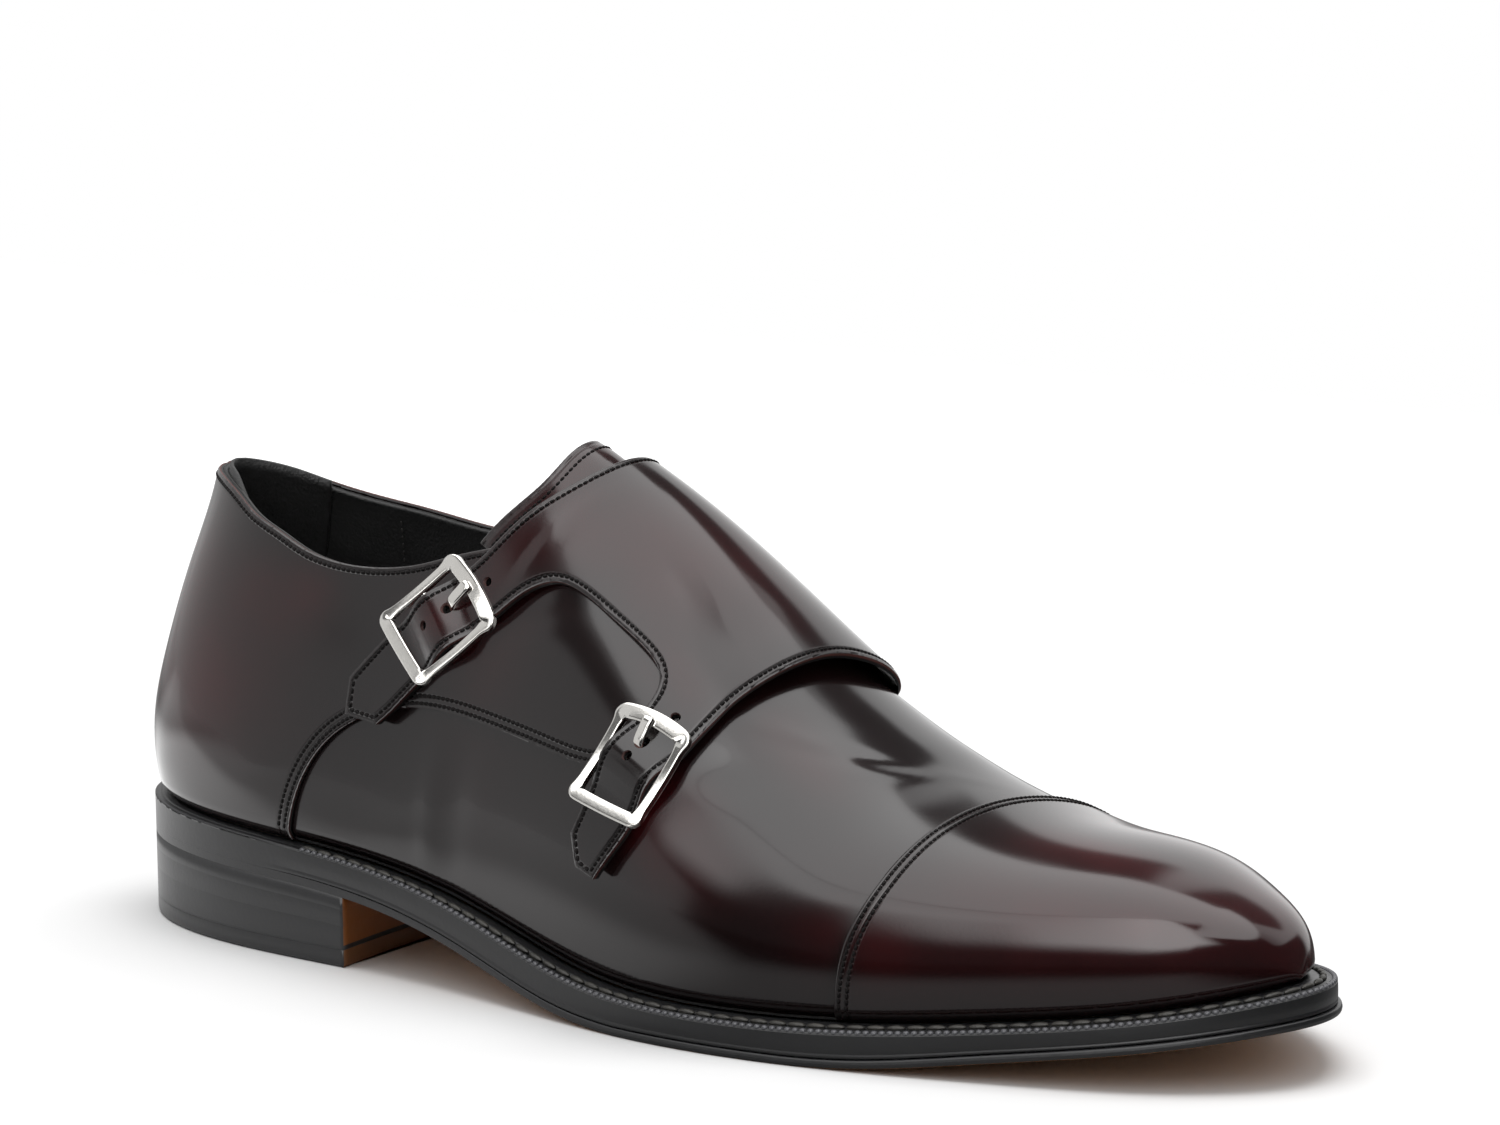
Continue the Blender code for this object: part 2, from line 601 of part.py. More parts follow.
def make_welt():
    """Strip round the whole feather line; behind the breast it is the heel rand."""
    inner = ring(lambda x: np.full(len(x), -WELT_INSET))
    outer = ring(lambda x: column(WELT, x, 1))
    soft = ring(lambda x: column(WELT, x, 1) - 0.5)
    fall = column(WELT, outer[:, 0], 3)
    top, low = welt_top(outer[:, 0]), welt_bottom(outer[:, 0])
    bands = (
        np.column_stack([inner, welt_top(inner[:, 0])]),
        np.column_stack([soft, top - fall]),
        np.column_stack([outer, top - fall - 0.5]),
        np.column_stack([outer, low]),
        np.column_stack([inner, welt_bottom(inner[:, 0])]),
    )
    bm = bmesh.new()
    loops = [[bm.verts.new(p) for p in band] for band in bands]
    n = len(inner)
    for k in range(len(loops)):
        a, b = loops[k], loops[(k + 1) % len(loops)]
        for i in range(n):
            bm.faces.new([a[i], a[(i + 1) % n], b[(i + 1) % n], b[i]])
    return finish("welt", bm, smooth=False)


def make_plate(name, outline, cuts, low, high, chamfer=0.0, rim="both"):
    """Solid between two heights that vary along x, with its rim chamfered."""
    bm = cut_sheet(outline, cuts, [])

    def place(p, side):
        return np.column_stack([p, (high if side else low)(p[:, 0])])

    solid = thicken(bm, place)
    bmesh.ops.recalc_face_normals(solid, faces=solid.faces)
    if chamfer:
        edges = []
        for e in solid.edges:
            sides = sum(1 for f in e.link_faces if abs(f.normal.z) < 0.5)
            flats = [f for f in e.link_faces if abs(f.normal.z) >= 0.5]
            wanted = rim == "both" or (flats and flats[0].normal.z < 0.0)
            if sides == 1 and len(flats) == 1 and wanted:
                edges.append(e)
        bmesh.ops.bevel(solid, geom=edges, offset=chamfer, segments=1, profile=0.5,
                        affect="EDGES", material=-1)
    return finish(name, solid, smooth=False)


def behind(points, x):
    """Part of a closed plan behind a straight breast at x."""
    lateral = np.array(sorted((p for p in points.tolist() if p[1] < 0.0), reverse=True))
    medial = np.array(sorted(p for p in points.tolist() if p[1] >= 0.0))
    corner_lateral = (x, float(np.interp(x, lateral[::-1, 0], lateral[::-1, 1])))
    corner_medial = (x, float(np.interp(x, medial[:, 0], medial[:, 1])))
    keep = [corner_lateral] + [tuple(p) for p in lateral if p[0] < x - 0.5]
    return keep + [tuple(p) for p in medial if p[0] < x - 0.5] + [corner_medial]


def make_sole():
    cols = list(np.arange(8.0, 297.0, 8.0))
    edge = ring(lambda x: column(WELT, x, 1) + 0.2 + (LIP - 0.2) * np.clip((x - 150.0) / 130.0, 0.0, 1.0))
    flats = [164.0, 211.0]
    make_plate("outsole", edge, sorted(cols + flats), tread, lambda x: welt_bottom(x) - FIT, 0.5)
    heel = ring(lambda x: column(WELT, x, 1) + 0.1, 96)
    seat = behind(heel, BREAST_X)
    heel_cuts = [10.0, 25.0, 40.0, 58.0]
    make_plate("heel_stack", seat, heel_cuts, lambda x: np.full(len(x), LIFT + FIT),
               lambda x: tread(x) - FIT, 0.0)
    make_plate("top_lift", seat, [], lambda x: np.zeros(len(x)), lambda x: np.full(len(x), LIFT), 0.6, "low")
    body = ring(lambda x: np.full(len(x), -WELT_INSET - LAYER_FIT), 52)
    flange = ring(lambda x: np.full(len(x), UPPER_IN - 2.0 * LAYER_FIT), 52)
    low, top = welt_bottom(body[:, 0]), column(FEATHER, flange[:, 0])
    make_insole(body, flange, low, top)


def make_insole(body, flange, low, top):
    """Insole with the filler under it: a plug inside the welt and a wider top on it."""
    bm = bmesh.new()
    loops = [
        [bm.verts.new((p[0], p[1], z)) for p, z in zip(body, low)],
        [bm.verts.new((p[0], p[1], z)) for p, z in zip(body, column(FEATHER, body[:, 0]))],
        [bm.verts.new((p[0], p[1], z)) for p, z in zip(flange, top)],
        [bm.verts.new((p[0], p[1], z + INSOLE_TOP)) for p, z in zip(flange, top)],
    ]
    n = len(body)
    for k in range(3):
        a, b = loops[k], loops[k + 1]
        for i in range(n):
            bm.faces.new([a[i], a[(i + 1) % n], b[(i + 1) % n], b[i]])
    bm.faces.new(loops[0][::-1])
    bm.faces.new(loops[3])
    for x in np.arange(16.0, 290.0, 16.0):
        geom = bm.verts[:] + bm.edges[:] + bm.faces[:]
        bmesh.ops.bisect_plane(bm, geom=geom, plane_co=(x, 0.0, 0.0), plane_no=(1.0, 0.0, 0.0), dist=1e-4)
    return finish("insole", bm, smooth=False)


# --------------------------------------------------------------- the buckles
def sweep(bm, path, frames, wide, thick, sides=8):
    """Closed loop of rounded section; frames give each point's across and up directions."""
    loops = []
    for p, (across, up) in zip(path, frames):
        loop = []
        for k in range(sides):
            a = 2.0 * math.pi * (k + 0.5) / sides
            c, s = math.cos(a), math.sin(a)
            fx = math.copysign(abs(c) ** 0.75, c) * wide / 2.0
            fz = math.copysign(abs(s) ** 0.75, s) * thick / 2.0
            loop.append(bm.verts.new(p + across * fx + up * fz))
        loops.append(loop)
    for a, b in zip(loops, loops[1:] + loops[:1]):
        for k in range(sides):
            bm.faces.new([a[k], a[(k + 1) % sides], b[(k + 1) % sides], b[k]])


def frame_height(a):
    half = BUCKLE_LONG / 2.0
    return FRAME_H - FRAME_DIP * (1.0 - min(1.0, abs(a) / (half - 2.0)) ** 2)


def make_buckle(bk):
    """Frame with its centre bar."""
    half_a, half_b = (BUCKLE_LONG - BUCKLE_BAR) / 2.0, (BUCKLE_WIDE - BUCKLE_BAR) / 2.0
    r = 2.6
    plan = []
    for ca, cb, start in ((half_a - r, half_b - r, 0.0), (r - half_a, half_b - r, 90.0),
                          (r - half_a, r - half_b, 180.0), (half_a - r, r - half_b, 270.0)):
        for k in range(4):
            g = math.radians(start + 30.0 * k)
            plan.append((ca + r * math.cos(g), cb + r * math.sin(g)))
        if start in (0.0, 180.0):
            plan.extend((s * ca, plan[-1][1]) for s in (0.5, 0.0, -0.5))
    path, frames = [], []
    n = len(plan)
    pts = [bk.point(a, b, frame_height(a)) for a, b in plan]
    for i in range(n):
        along = pts[(i + 1) % n] - pts[i - 1]
        along /= np.linalg.norm(along)
        x, t = bk.flat(*plan[i])
        up = outward(x, t)
        up = up - along * (up @ along)
        up /= np.linalg.norm(up)
        path.append(pts[i])
        frames.append((np.cross(along, up), up))
    bm = bmesh.new()
    sweep(bm, path, frames, BUCKLE_BAR, BUCKLE_THICK)
    frame = finish("buckle_" + bk.name, bm)
    line = [bk.point(0.0, b, frame_height(0.0) if abs(b) == half_b else BAR_H)
            for b in (-half_b, -half_b + 1.6, 0.0, half_b - 1.6, half_b)]
    merge(frame, round_bar("bar_" + bk.name, line, BAR_D), "UNION")
    return frame


def prong_path(bk):
    """Prong from beside the centre bar, up through the strap, to rest on the near cross bar."""
    rest = FRAME_H + BUCKLE_THICK / 2.0 + FIT - 0.1 + PRONG_D / 2.0
    return [bk.point(a, 0.0, h) for a, h in
            ((1.35, BAR_H + 0.1), (3.2, 3.7), (6.2, 5.5), (8.6, rest - 0.1), (10.3, rest), (12.4, rest - 0.25))]


def round_bar(name, pts, d):
    """Round bar through the points: a curve with a round section, made a closed mesh."""
    curve = bpy.data.curves.new(name, "CURVE")
    curve.dimensions = "3D"
    curve.bevel_depth = d / 2.0 * MM
    curve.bevel_resolution = 2
    curve.use_fill_caps = True
    line = curve.splines.new("POLY")
    line.points.add(len(pts) - 1)
    for point, p in zip(line.points, pts):
        point.co = (p[0] * MM, p[1] * MM, p[2] * MM, 1.0)
    guide = bpy.data.objects.new(name, curve)
    SHOE.objects.link(guide)
    bpy.context.view_layer.update()
    mesh = bpy.data.meshes.new_from_object(guide.evaluated_get(bpy.context.evaluated_depsgraph_get()))
    bpy.data.objects.remove(guide)
    bm = bmesh.new()
    bm.from_mesh(mesh)
    bmesh.ops.remove_doubles(bm, verts=bm.verts, dist=0.00001)
    bmesh.ops.recalc_face_normals(bm, faces=bm.faces)
    bm.to_mesh(mesh)
    bm.free()
    mesh.shade_smooth()
    obj = bpy.data.objects.new(name, mesh)
    SHOE.objects.link(obj)
    return obj


def drill(name, start, end, d):
    """Round cutting tool from start to end."""
    bm = bmesh.new()
    bmesh.ops.create_cone(bm, cap_ends=True, segments=10, radius1=d / 2.0, radius2=d / 2.0,
                          depth=float(np.linalg.norm(end - start)))
    turn = Vector((0.0, 0.0, 1.0)).rotation_difference(Vector(end - start)).to_matrix()
    bmesh.ops.rotate(bm, matrix=turn, verts=bm.verts)
    bmesh.ops.translate(bm, vec=Vector((start + end) / 2.0), verts=bm.verts)
    return finish(name, bm)


def merge(target, tool, operation):
    mod = target.modifiers.new("join", "BOOLEAN")
    mod.operation = operation
    mod.solver = "EXACT"
    mod.object = tool
    if operation == "UNION":
        bpy.context.view_layer.update()
        done = bpy.data.meshes.new_from_object(target.evaluated_get(bpy.context.evaluated_depsgraph_get()))
        target.modifiers.clear()
        target.data = done
        bpy.data.objects.remove(tool)


def cutter(obj, target):
    """Hide a cutting tool and take it from its target."""
    SHOE.objects.unlink(obj)
    TOOLS.objects.link(obj)
    obj.hide_render = True
    obj.display_type = "WIRE"
    merge(target, obj, "DIFFERENCE")


def make_buckles(flap):
    for bk in SITES:
        make_buckle(bk)
        path = prong_path(bk)
        round_bar("prong_" + bk.name, path, PRONG_D)
        way = [path[0] + (path[0] - path[1]) * 0.2] + path[1:4]
        cutter(round_bar("prong_way_" + bk.name, way, PRONG_D + 0.9), flap)
        for k, a in enumerate((-4.8, 14.6)):
            hole = drill("hole_%s_%d" % (bk.name, k), bk.point(a, 0.0, 0.5), bk.point(a, 0.0, 6.5), HOLE_D)
            cutter(hole, flap)


# ------------------------------------------------------------------ finishes
FINISHES = {
    # colour, roughness, metallic
    "burgundy leather": ((0.060, 0.008, 0.009, 1.0), 0.22, 0.0),
    "dark burgundy leather": ((0.030, 0.005, 0.006, 1.0), 0.22, 0.0),
    "black lining leather": ((0.020, 0.018, 0.018, 1.0), 0.55, 0.0),
    "black edge dressing": ((0.018, 0.016, 0.016, 1.0), 0.35, 0.0),
    "sole leather": ((0.330, 0.150, 0.050, 1.0), 0.50, 0.0),
    "stacked leather": ((0.020, 0.017, 0.017, 1.0), 0.30, 0.0),
    "black rubber": ((0.022, 0.022, 0.022, 1.0), 0.60, 0.0),
    "polished nickel": ((0.720, 0.700, 0.670, 1.0), 0.12, 1.0),
}
MATERIAL_OF = {
    "upper": "burgundy leather", "toe_cap": "burgundy leather", "quarter": "dark burgundy leather",
    "monk_flap": "dark burgundy leather", "tongue": "black lining leather", "insole": "black lining leather",
    "welt": "black edge dressing", "outsole": "sole leather", "heel_stack": "stacked leather",
    "top_lift": "black rubber", "buckle_upper": "polished nickel", "buckle_lower": "polished nickel",
    "prong_upper": "polished nickel", "prong_lower": "polished nickel",
}


def dress():
    for name, finish_name in MATERIAL_OF.items():
        colour, rough, metal = FINISHES[finish_name]
        mat = bpy.data.materials.new(name + " " + finish_name)
        mat.use_nodes = True
        shader = mat.node_tree.nodes["Principled BSDF"]
        shader.inputs["Base Color"].default_value = colour
        shader.inputs["Roughness"].default_value = rough
        shader.inputs["Metallic"].default_value = metal
        bpy.data.objects[name].data.materials.clear()
        bpy.data.objects[name].data.materials.append(mat)


def centre():
    """Bring the middle of the shoe's floor rectangle to the origin."""
    pts = np.array([v.co for name in MATERIAL_OF for v in bpy.data.objects[name].data.vertices])
    mid = (pts.min(0) + pts.max(0)) / 2.0
    for obj in bpy.data.objects:
        for v in obj.data.vertices:
            v.co.x -= mid[0]
            v.co.y -= mid[1]


for old in list(bpy.data.objects):
    bpy.data.objects.remove(old)
SHOE = bpy.data.collections.new("double_monk_shoe")
bpy.context.scene.collection.children.link(SHOE)
TOOLS = bpy.data.collections.new("cutting tools")
bpy.context.scene.collection.children.link(TOOLS)
SITES = [Buckle(*row) for row in BUCKLES]

make_upper()
make_toe_cap()
make_quarter()
FLAP = make_flap()
make_tongue()
make_welt()
make_sole()
make_buckles(FLAP)
dress()
centre()
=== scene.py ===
"""Right double monk strap shoe: leather panels, stitching, welted sole and buckles,
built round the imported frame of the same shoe.

Every leather piece lies at its own depth from one last surface, surface(x, t): x runs
forward from the back of the heel, t runs over the foot from the lateral feather line (-1)
by the crest (0) to the medial feather line (+1).  The sizes here are in millimetres, with
x and y measured as on the last; settle() moves a finished piece to the frame, in metres.
"""
import math

import bmesh
import bpy
import numpy as np
from bpy.props import FloatProperty, FloatVectorProperty, PointerProperty
from mathutils import Matrix, Vector
from mathutils.kdtree import KDTree


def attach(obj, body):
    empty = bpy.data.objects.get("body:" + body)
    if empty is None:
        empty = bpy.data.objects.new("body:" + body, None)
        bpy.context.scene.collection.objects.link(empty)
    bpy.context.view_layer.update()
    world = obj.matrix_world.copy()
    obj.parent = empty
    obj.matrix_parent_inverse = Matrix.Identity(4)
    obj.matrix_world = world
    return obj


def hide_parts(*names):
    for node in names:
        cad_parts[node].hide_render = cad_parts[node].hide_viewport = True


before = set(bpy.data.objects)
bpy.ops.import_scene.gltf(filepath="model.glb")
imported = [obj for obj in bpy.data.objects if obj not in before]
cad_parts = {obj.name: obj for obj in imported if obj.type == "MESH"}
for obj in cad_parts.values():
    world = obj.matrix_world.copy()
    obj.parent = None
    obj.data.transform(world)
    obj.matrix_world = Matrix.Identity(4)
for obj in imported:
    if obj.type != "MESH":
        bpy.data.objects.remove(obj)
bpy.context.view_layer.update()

bl_info = {
    "name": "Double Monk Shoe",
    "version": (1, 0, 0),
    "blender": (4, 5, 0),
    "location": "View3D > Sidebar > Shoe",
    "description": "Builds a polished double monk strap shoe over its frame",
    "category": "Add Mesh",
}

# ---------------------------------------------------------------- sizes (mm)
FRAME_SHIFT = (148.831, 1.701, 0.0)     # last frame to the frame's own origin
WALL = 2.0                  # vamp with its lining
OVERLAY = 1.2               # quarter, cap and flap
STRAP = 2.1                 # flap and straps where they are doubled
TONGUE = 2.5
UPPER_OUT = -0.75           # depths from the last surface, outward positive
UPPER_IN = UPPER_OUT - WALL
OVER_IN = -0.35
OVER_OUT = OVER_IN + OVERLAY
FLAP_IN = OVER_OUT + 0.4
TONGUE_OUT = UPPER_IN - 0.8
VAMP_X = 164.0              # point of the vamp, where the throat ends
BREAST_X = 75.0             # front of the heel
LIFT = 4.0                  # rubber lift under the heel
INSOLE_TOP = 2.5            # top of the insole over the feather line
LIP = 0.9                   # outsole beyond the welt at the toe
OUTSOLE = 1.9               # band of the outsole under the welt
STRAP_LEFT = 5.0            # strap edges on either side of its buckle
STRAP_RIGHT = 8.6
BAR_D = 1.6                 # centre bar of a buckle
FRAME_H = 4.6               # middle of a buckle's frame over the last surface
HUMP = 2.75                 # rise of a strap over the centre bar, and half its length
HUMP_HALF = 9.0
T_MM = 110.0                # flat patterns: one unit of t is about this long
FOLD_MM = 85.0              # the same for the widths of folds

# feather line of the last in plan: place, x, y (y to the wearer's left)
OUTLINE = (
    ("heel back", 0.0, 0.0),
    ("heel back lateral", 11.0, -19.2),
    ("heel lateral", 42.0, -30.8),
    ("waist back lateral", 85.0, -33.2),
    ("waist lateral", 125.0, -38.0),
    ("ball back lateral", 165.0, -43.4),
    ("ball lateral", 203.0, -40.5),
    ("toe back lateral", 240.0, -30.5),
    ("toe lateral", 270.0, -19.8),
    ("toe corner lateral", 287.0, -8.0),
    ("toe tip", 294.0, 5.0),
    ("toe corner medial", 287.5, 18.5),
    ("toe medial", 272.0, 31.5),
    ("toe back medial", 252.0, 40.0),
    ("ball medial", 222.0, 46.0),
    ("ball back medial", 185.0, 43.5),
    ("waist medial", 135.0, 30.5),
    ("waist back medial", 90.0, 27.5),
    ("heel medial", 42.0, 31.0),
    ("heel back medial", 11.0, 19.5),
)
# crest of the last in side view, toe tip to cone: x, z
CREST = (
    (294.0, 19.8), (291.6, 27.8), (281.0, 35.3), (262.0, 41.6), (238.0, 45.0), (205.0, 53.5),
    (175.0, 73.3), (145.0, 98.5), (118.0, 114.0), (95.0, 121.0), (60.0, 128.0), (-4.0, 131.0),
)
# height of the feather line over the floor: x, z
FEATHER = (
    (-8.0, 27.7), (0.0, 27.6), (40.0, 26.4), (78.0, 23.8), (110.0, 18.3), (145.0, 9.9),
    (180.0, 7.8), (215.0, 8.9), (245.0, 11.7), (270.0, 15.0), (294.0, 19.8), (304.0, 22.1),
)
# sections: x, crest y, wall bulge, wall rise, shoulder width, shoulder height
SECTION = (
    (0.0, 0.0, 2.2, 0.20, 0.78, 0.59),
    (40.0, 0.0, 3.0, 0.20, 0.80, 0.62),
    (80.0, 1.0, 2.0, 0.22, 0.80, 0.64),
    (120.0, 3.0, 2.5, 0.28, 0.81, 0.73),
    (160.0, 5.0, 3.0, 0.36, 0.84, 0.81),
    (200.0, 5.0, 3.4, 0.42, 0.87, 0.845),
    (240.0, 4.0, 3.0, 0.46, 0.89, 0.885),
    (270.0, 4.0, 2.0, 0.50, 0.91, 0.91),
    (294.0, 5.0, 0.5, 0.50, 0.95, 0.95),
)
# back curve of the heel: z, x
BACK = (
    (20.0, 1.2), (27.0, 0.0), (42.0, -1.8), (60.0, 1.4), (80.0, 7.8), (98.0, 14.4), (130.0, 15.0),
)
# welt: x, margin beyond the feather line, fall of its outer edge
WELT = (
    (0.0, 2.4, 0.1), (60.0, 2.5, 0.2), (100.0, 3.4, 0.4), (150.0, 4.8, 0.5),
    (215.0, 5.6, 0.6), (250.0, 5.6, 0.6), (294.0, 5.4, 0.6), (304.0, 5.4, 0.6),
)
# tread of the outsole: x, z
TREAD = (
    (-3.0, 18.8), (40.0, 17.7), (78.0, 15.4), (110.0, 9.3), (140.0, 1.8),
    (162.0, -0.1), (190.0, -0.1), (213.0, 0.5), (240.0, 3.8), (270.0, 8.0), (301.0, 13.5),
)
# top edge of the upper: collar, then the throat down to the vamp point: x, t
TOP_LATERAL = (
    (0.0, -0.407), (9.4, -0.415), (21.0, -0.435), (32.0, -0.460), (45.0, -0.480), (57.0, -0.500),
    (70.0, -0.505), (80.0, -0.495), (89.0, -0.475), (97.0, -0.447), (106.0, -0.415),
    (120.0, -0.360), (138.0, -0.300), (152.0, -0.225), (161.0, -0.120), (VAMP_X, 0.0),
)
TOP_MEDIAL = (
    (0.0, 0.407), (9.4, 0.430), (21.0, 0.462), (35.0, 0.484), (50.0, 0.492), (68.0, 0.495),
    (80.0, 0.490), (90.0, 0.475), (98.0, 0.450), (106.0, 0.415),
    (120.0, 0.355), (138.0, 0.295), (152.0, 0.220), (161.0, 0.120), (VAMP_X, 0.0),
)
# edge of the toe cap over the vamp: x, t
CAP_EDGE = (
    (209.3, -1.000), (210.8, -0.890), (213.1, -0.765), (216.2, -0.600), (218.0, -0.410),
    (219.3, -0.230), (220.8, -0.045), (222.4, 0.165), (223.4, 0.400), (224.0, 0.650), (223.5, 1.000),
)
# front edge of the quarter: from the welt up behind the strap, then forward: x, |t|
QUARTER_EDGE = (
    (57.4, 1.000), (59.0, 0.950), (62.4, 0.885), (67.6, 0.823), (75.8, 0.768), (89.5, 0.724),
    (103.0, 0.711), (119.0, 0.710), (134.0, 0.704), (147.0, 0.685),
)
QUARTER_FRONT = ((157.0, 0.620), (163.0, 0.520), (166.5, 0.410), (167.3, 0.290), (165.0, 0.190))
# buckles: name, x, t, then the strap's direction toward the instep
BUCKLES = (
    ("upper", 98.7, -0.560, (0.75, 0.17, 0.64)),
    ("lower", 157.6, -0.632, (0.44, 0.41, 0.80)),
)
# flap edges between the straps' straight runs: x, t
FLAP_TOP = (
    (98.3, 0.448), (106.0, 0.412), (114.0, 0.345), (121.5, 0.245), (126.5, 0.130), (127.8, 0.010),
    (126.0, -0.120), (121.5, -0.230), (114.5, -0.335),
)
WINDOW = (
    (115.6, -0.517), (120.7, -0.468), (126.0, -0.428), (130.0, -0.413), (136.0, -0.410), (144.0, -0.415),
    (152.5, -0.420), (156.6, -0.435), (158.3, -0.470),
)
FLAP_FRONT = (
    (171.2, -0.435), (172.2, -0.370), (173.9, -0.268), (175.8, -0.130), (177.2, 0.010), (178.4, 0.150),
    (178.6, 0.290), (176.2, 0.430), (169.5, 0.560), (159.5, 0.650), (147.0, 0.692),
)


# ------------------------------------------------------------------- curves
def spline(ts, vs, at, cyclic=False):
    """Cubic curve with even curvature through vs at ts."""
    ts = np.asarray(ts, float)
    vs = np.asarray(vs, float)
    flat = vs.ndim == 1
    if flat:
        vs = vs[:, None]
    n = len(vs)
    h = np.diff(ts)
    a = np.eye(n)
    b = np.zeros((n, vs.shape[1]))
    first, last = (0, n) if cyclic else (1, n - 1)
    for i in range(first, last):
        before, after = h[i - 1], h[i]
        prev, nxt = (i - 1) % n, (i + 1) % n
        a[i] = 0.0
        a[i, prev] += before
        a[i, i] += 2.0 * (before + after)
        a[i, nxt] += after
        b[i] = 6.0 * ((vs[nxt] - vs[i]) / after - (vs[i] - vs[prev]) / before)
    m = np.linalg.solve(a, b)
    if cyclic:
        vs = np.vstack([vs, vs[:1]])
        m = np.vstack([m, m[:1]])
    at = np.asarray(at, float)
    i = np.clip(np.searchsorted(ts, at, side="right") - 1, 0, len(ts) - 2)
    hh = (ts[i + 1] - ts[i])[..., None]
    p = (ts[i + 1] - at)[..., None] / hh
    q = (at - ts[i])[..., None] / hh
    out = p * vs[i] + q * vs[i + 1] + ((p ** 3 - p) * m[i] + (q ** 3 - q) * m[i + 1]) * hh ** 2 / 6.0
    return out[..., 0] if flat else out


def smooth_curve(points, count, cyclic=False):
    """Curve through the points, with the spacing of its knots following their chords."""
    p = np.asarray(points, float)
    loop = np.vstack([p, p[:1]]) if cyclic else p
    knots = np.concatenate([[0.0], np.cumsum(np.sqrt(np.linalg.norm(np.diff(loop, axis=0), axis=1)))])
    return spline(knots, p, np.linspace(0.0, knots[-1], count), cyclic)


def column(table, x, col=1):
    """Value at x along a column of a table."""
    rows = np.array(table, float)
    return spline(rows[:, 0], rows[:, col], np.clip(x, rows[0, 0], rows[-1, 0]))


def edge_at(points, x):
    """Height t of a plan edge at x, read along a smooth curve through its points."""
    c = smooth_curve(points, 400)
    return np.interp(x, np.maximum.accumulate(c[:, 0]), c[:, 1])


# ----------------------------------------------------------------- the last
def make_outline():
    """Feather line in plan, from the back of the heel round by the lateral side."""
    c = smooth_curve([row[1:] for row in OUTLINE], 1601, True)[:-1]
    return np.roll(c, -int(np.argmin(c[:, 0])), axis=0)


PLAN = make_outline()
TIP = int(np.argmax(PLAN[:, 0]))
SIDE_LATERAL = PLAN[:TIP + 1]
SIDE_MEDIAL = np.vstack([PLAN[TIP:], PLAN[:1]])[::-1]
X_BACK = PLAN[0, 0]
X_TIP = PLAN[TIP, 0]
CREST_CURVE = smooth_curve(CREST, 1200)[::-1]
KNOTS = (0, 0, 0, 0, 1, 2, 3, 4, 4, 4, 4)    # of the cubic weights across a section


def angle_of(x):
    """0 at the heel back, pi at the toe tip: even steps here close both ends roundly."""
    return np.arccos(1.0 - 2.0 * np.clip((x - X_BACK) / (X_TIP - X_BACK), 0.0, 1.0))


def x_of(angle):
    return X_BACK + (X_TIP - X_BACK) * (1.0 - np.cos(angle)) / 2.0


def plan_y(side, x):
    """Place y of one side of the plan at x."""
    return np.interp(angle_of(x), angle_of(side[:, 0]), side[:, 1])


def crest_z(x):
    """Height of the crest at x, read evenly round the toe."""
    reach = CREST_CURVE[:, 0].max()
    return np.interp(-np.sqrt(np.maximum(reach - x, 0.0)),
                     -np.sqrt(np.maximum(reach - CREST_CURVE[:, 0], 0.0)), CREST_CURVE[:, 1])


def weights(t):
    """Seven cubic weights over t from -1 to 1."""
    u = np.clip((np.asarray(t, float) + 1.0) * 2.0, 0.0, 4.0 - 1e-9)
    n = [np.where((u >= KNOTS[i]) & (u < KNOTS[i + 1]), 1.0, 0.0) for i in range(10)]
    for p in range(1, 4):
        row = []
        for i in range(10 - p):
            left, right = KNOTS[i + p] - KNOTS[i], KNOTS[i + p + 1] - KNOTS[i + 1]
            value = 0.0 * u
            if left:
                value = value + (u - KNOTS[i]) / left * n[i]
            if right:
                value = value + (KNOTS[i + p + 1] - u) / right * n[i + 1]
            row.append(value)
        n = row
    return np.stack(n, -1)


def surface(x, t):
    """Last surface at x and t."""
    x, t = np.broadcast_arrays(np.asarray(x, float), np.asarray(t, float))
    t = np.where(x > X_TIP - 0.01, 0.0, t)
    yl, ym = plan_y(SIDE_LATERAL, x), plan_y(SIDE_MEDIAL, x)
    zf = column(FEATHER, x)
    high = crest_z(x) - zf
    cy = np.clip(column(SECTION, x, 1), yl, ym)
    bulge = column(SECTION, x, 2) * np.minimum((ym - yl) / 40.0, 1.0)
    rise, wide, tall = (column(SECTION, x, k) for k in (3, 4, 5))
    w = weights(t)
    mid = weights(0.0)
    z = [zf, zf + rise * high, zf + tall * high]
    top = (zf + high - (mid[2] + mid[4]) * z[2] - (mid[1] + mid[5]) * z[1]) / mid[3]
    ys = (yl, yl - bulge, cy + (yl - cy) * wide, cy, cy + (ym - cy) * wide, ym + bulge, ym)
    zs = (z[0], z[1], z[2], top, z[2], z[1], z[0])
    y = sum(w[..., i] * ys[i] for i in range(7))
    z = sum(w[..., i] * zs[i] for i in range(7))
    fade = np.clip(1.0 - (x - X_BACK) / 75.0, 0.0, 1.0)
    fade = fade * fade * (3.0 - 2.0 * fade)
    return np.stack([x + column(BACK, z) * fade, y, z], -1)


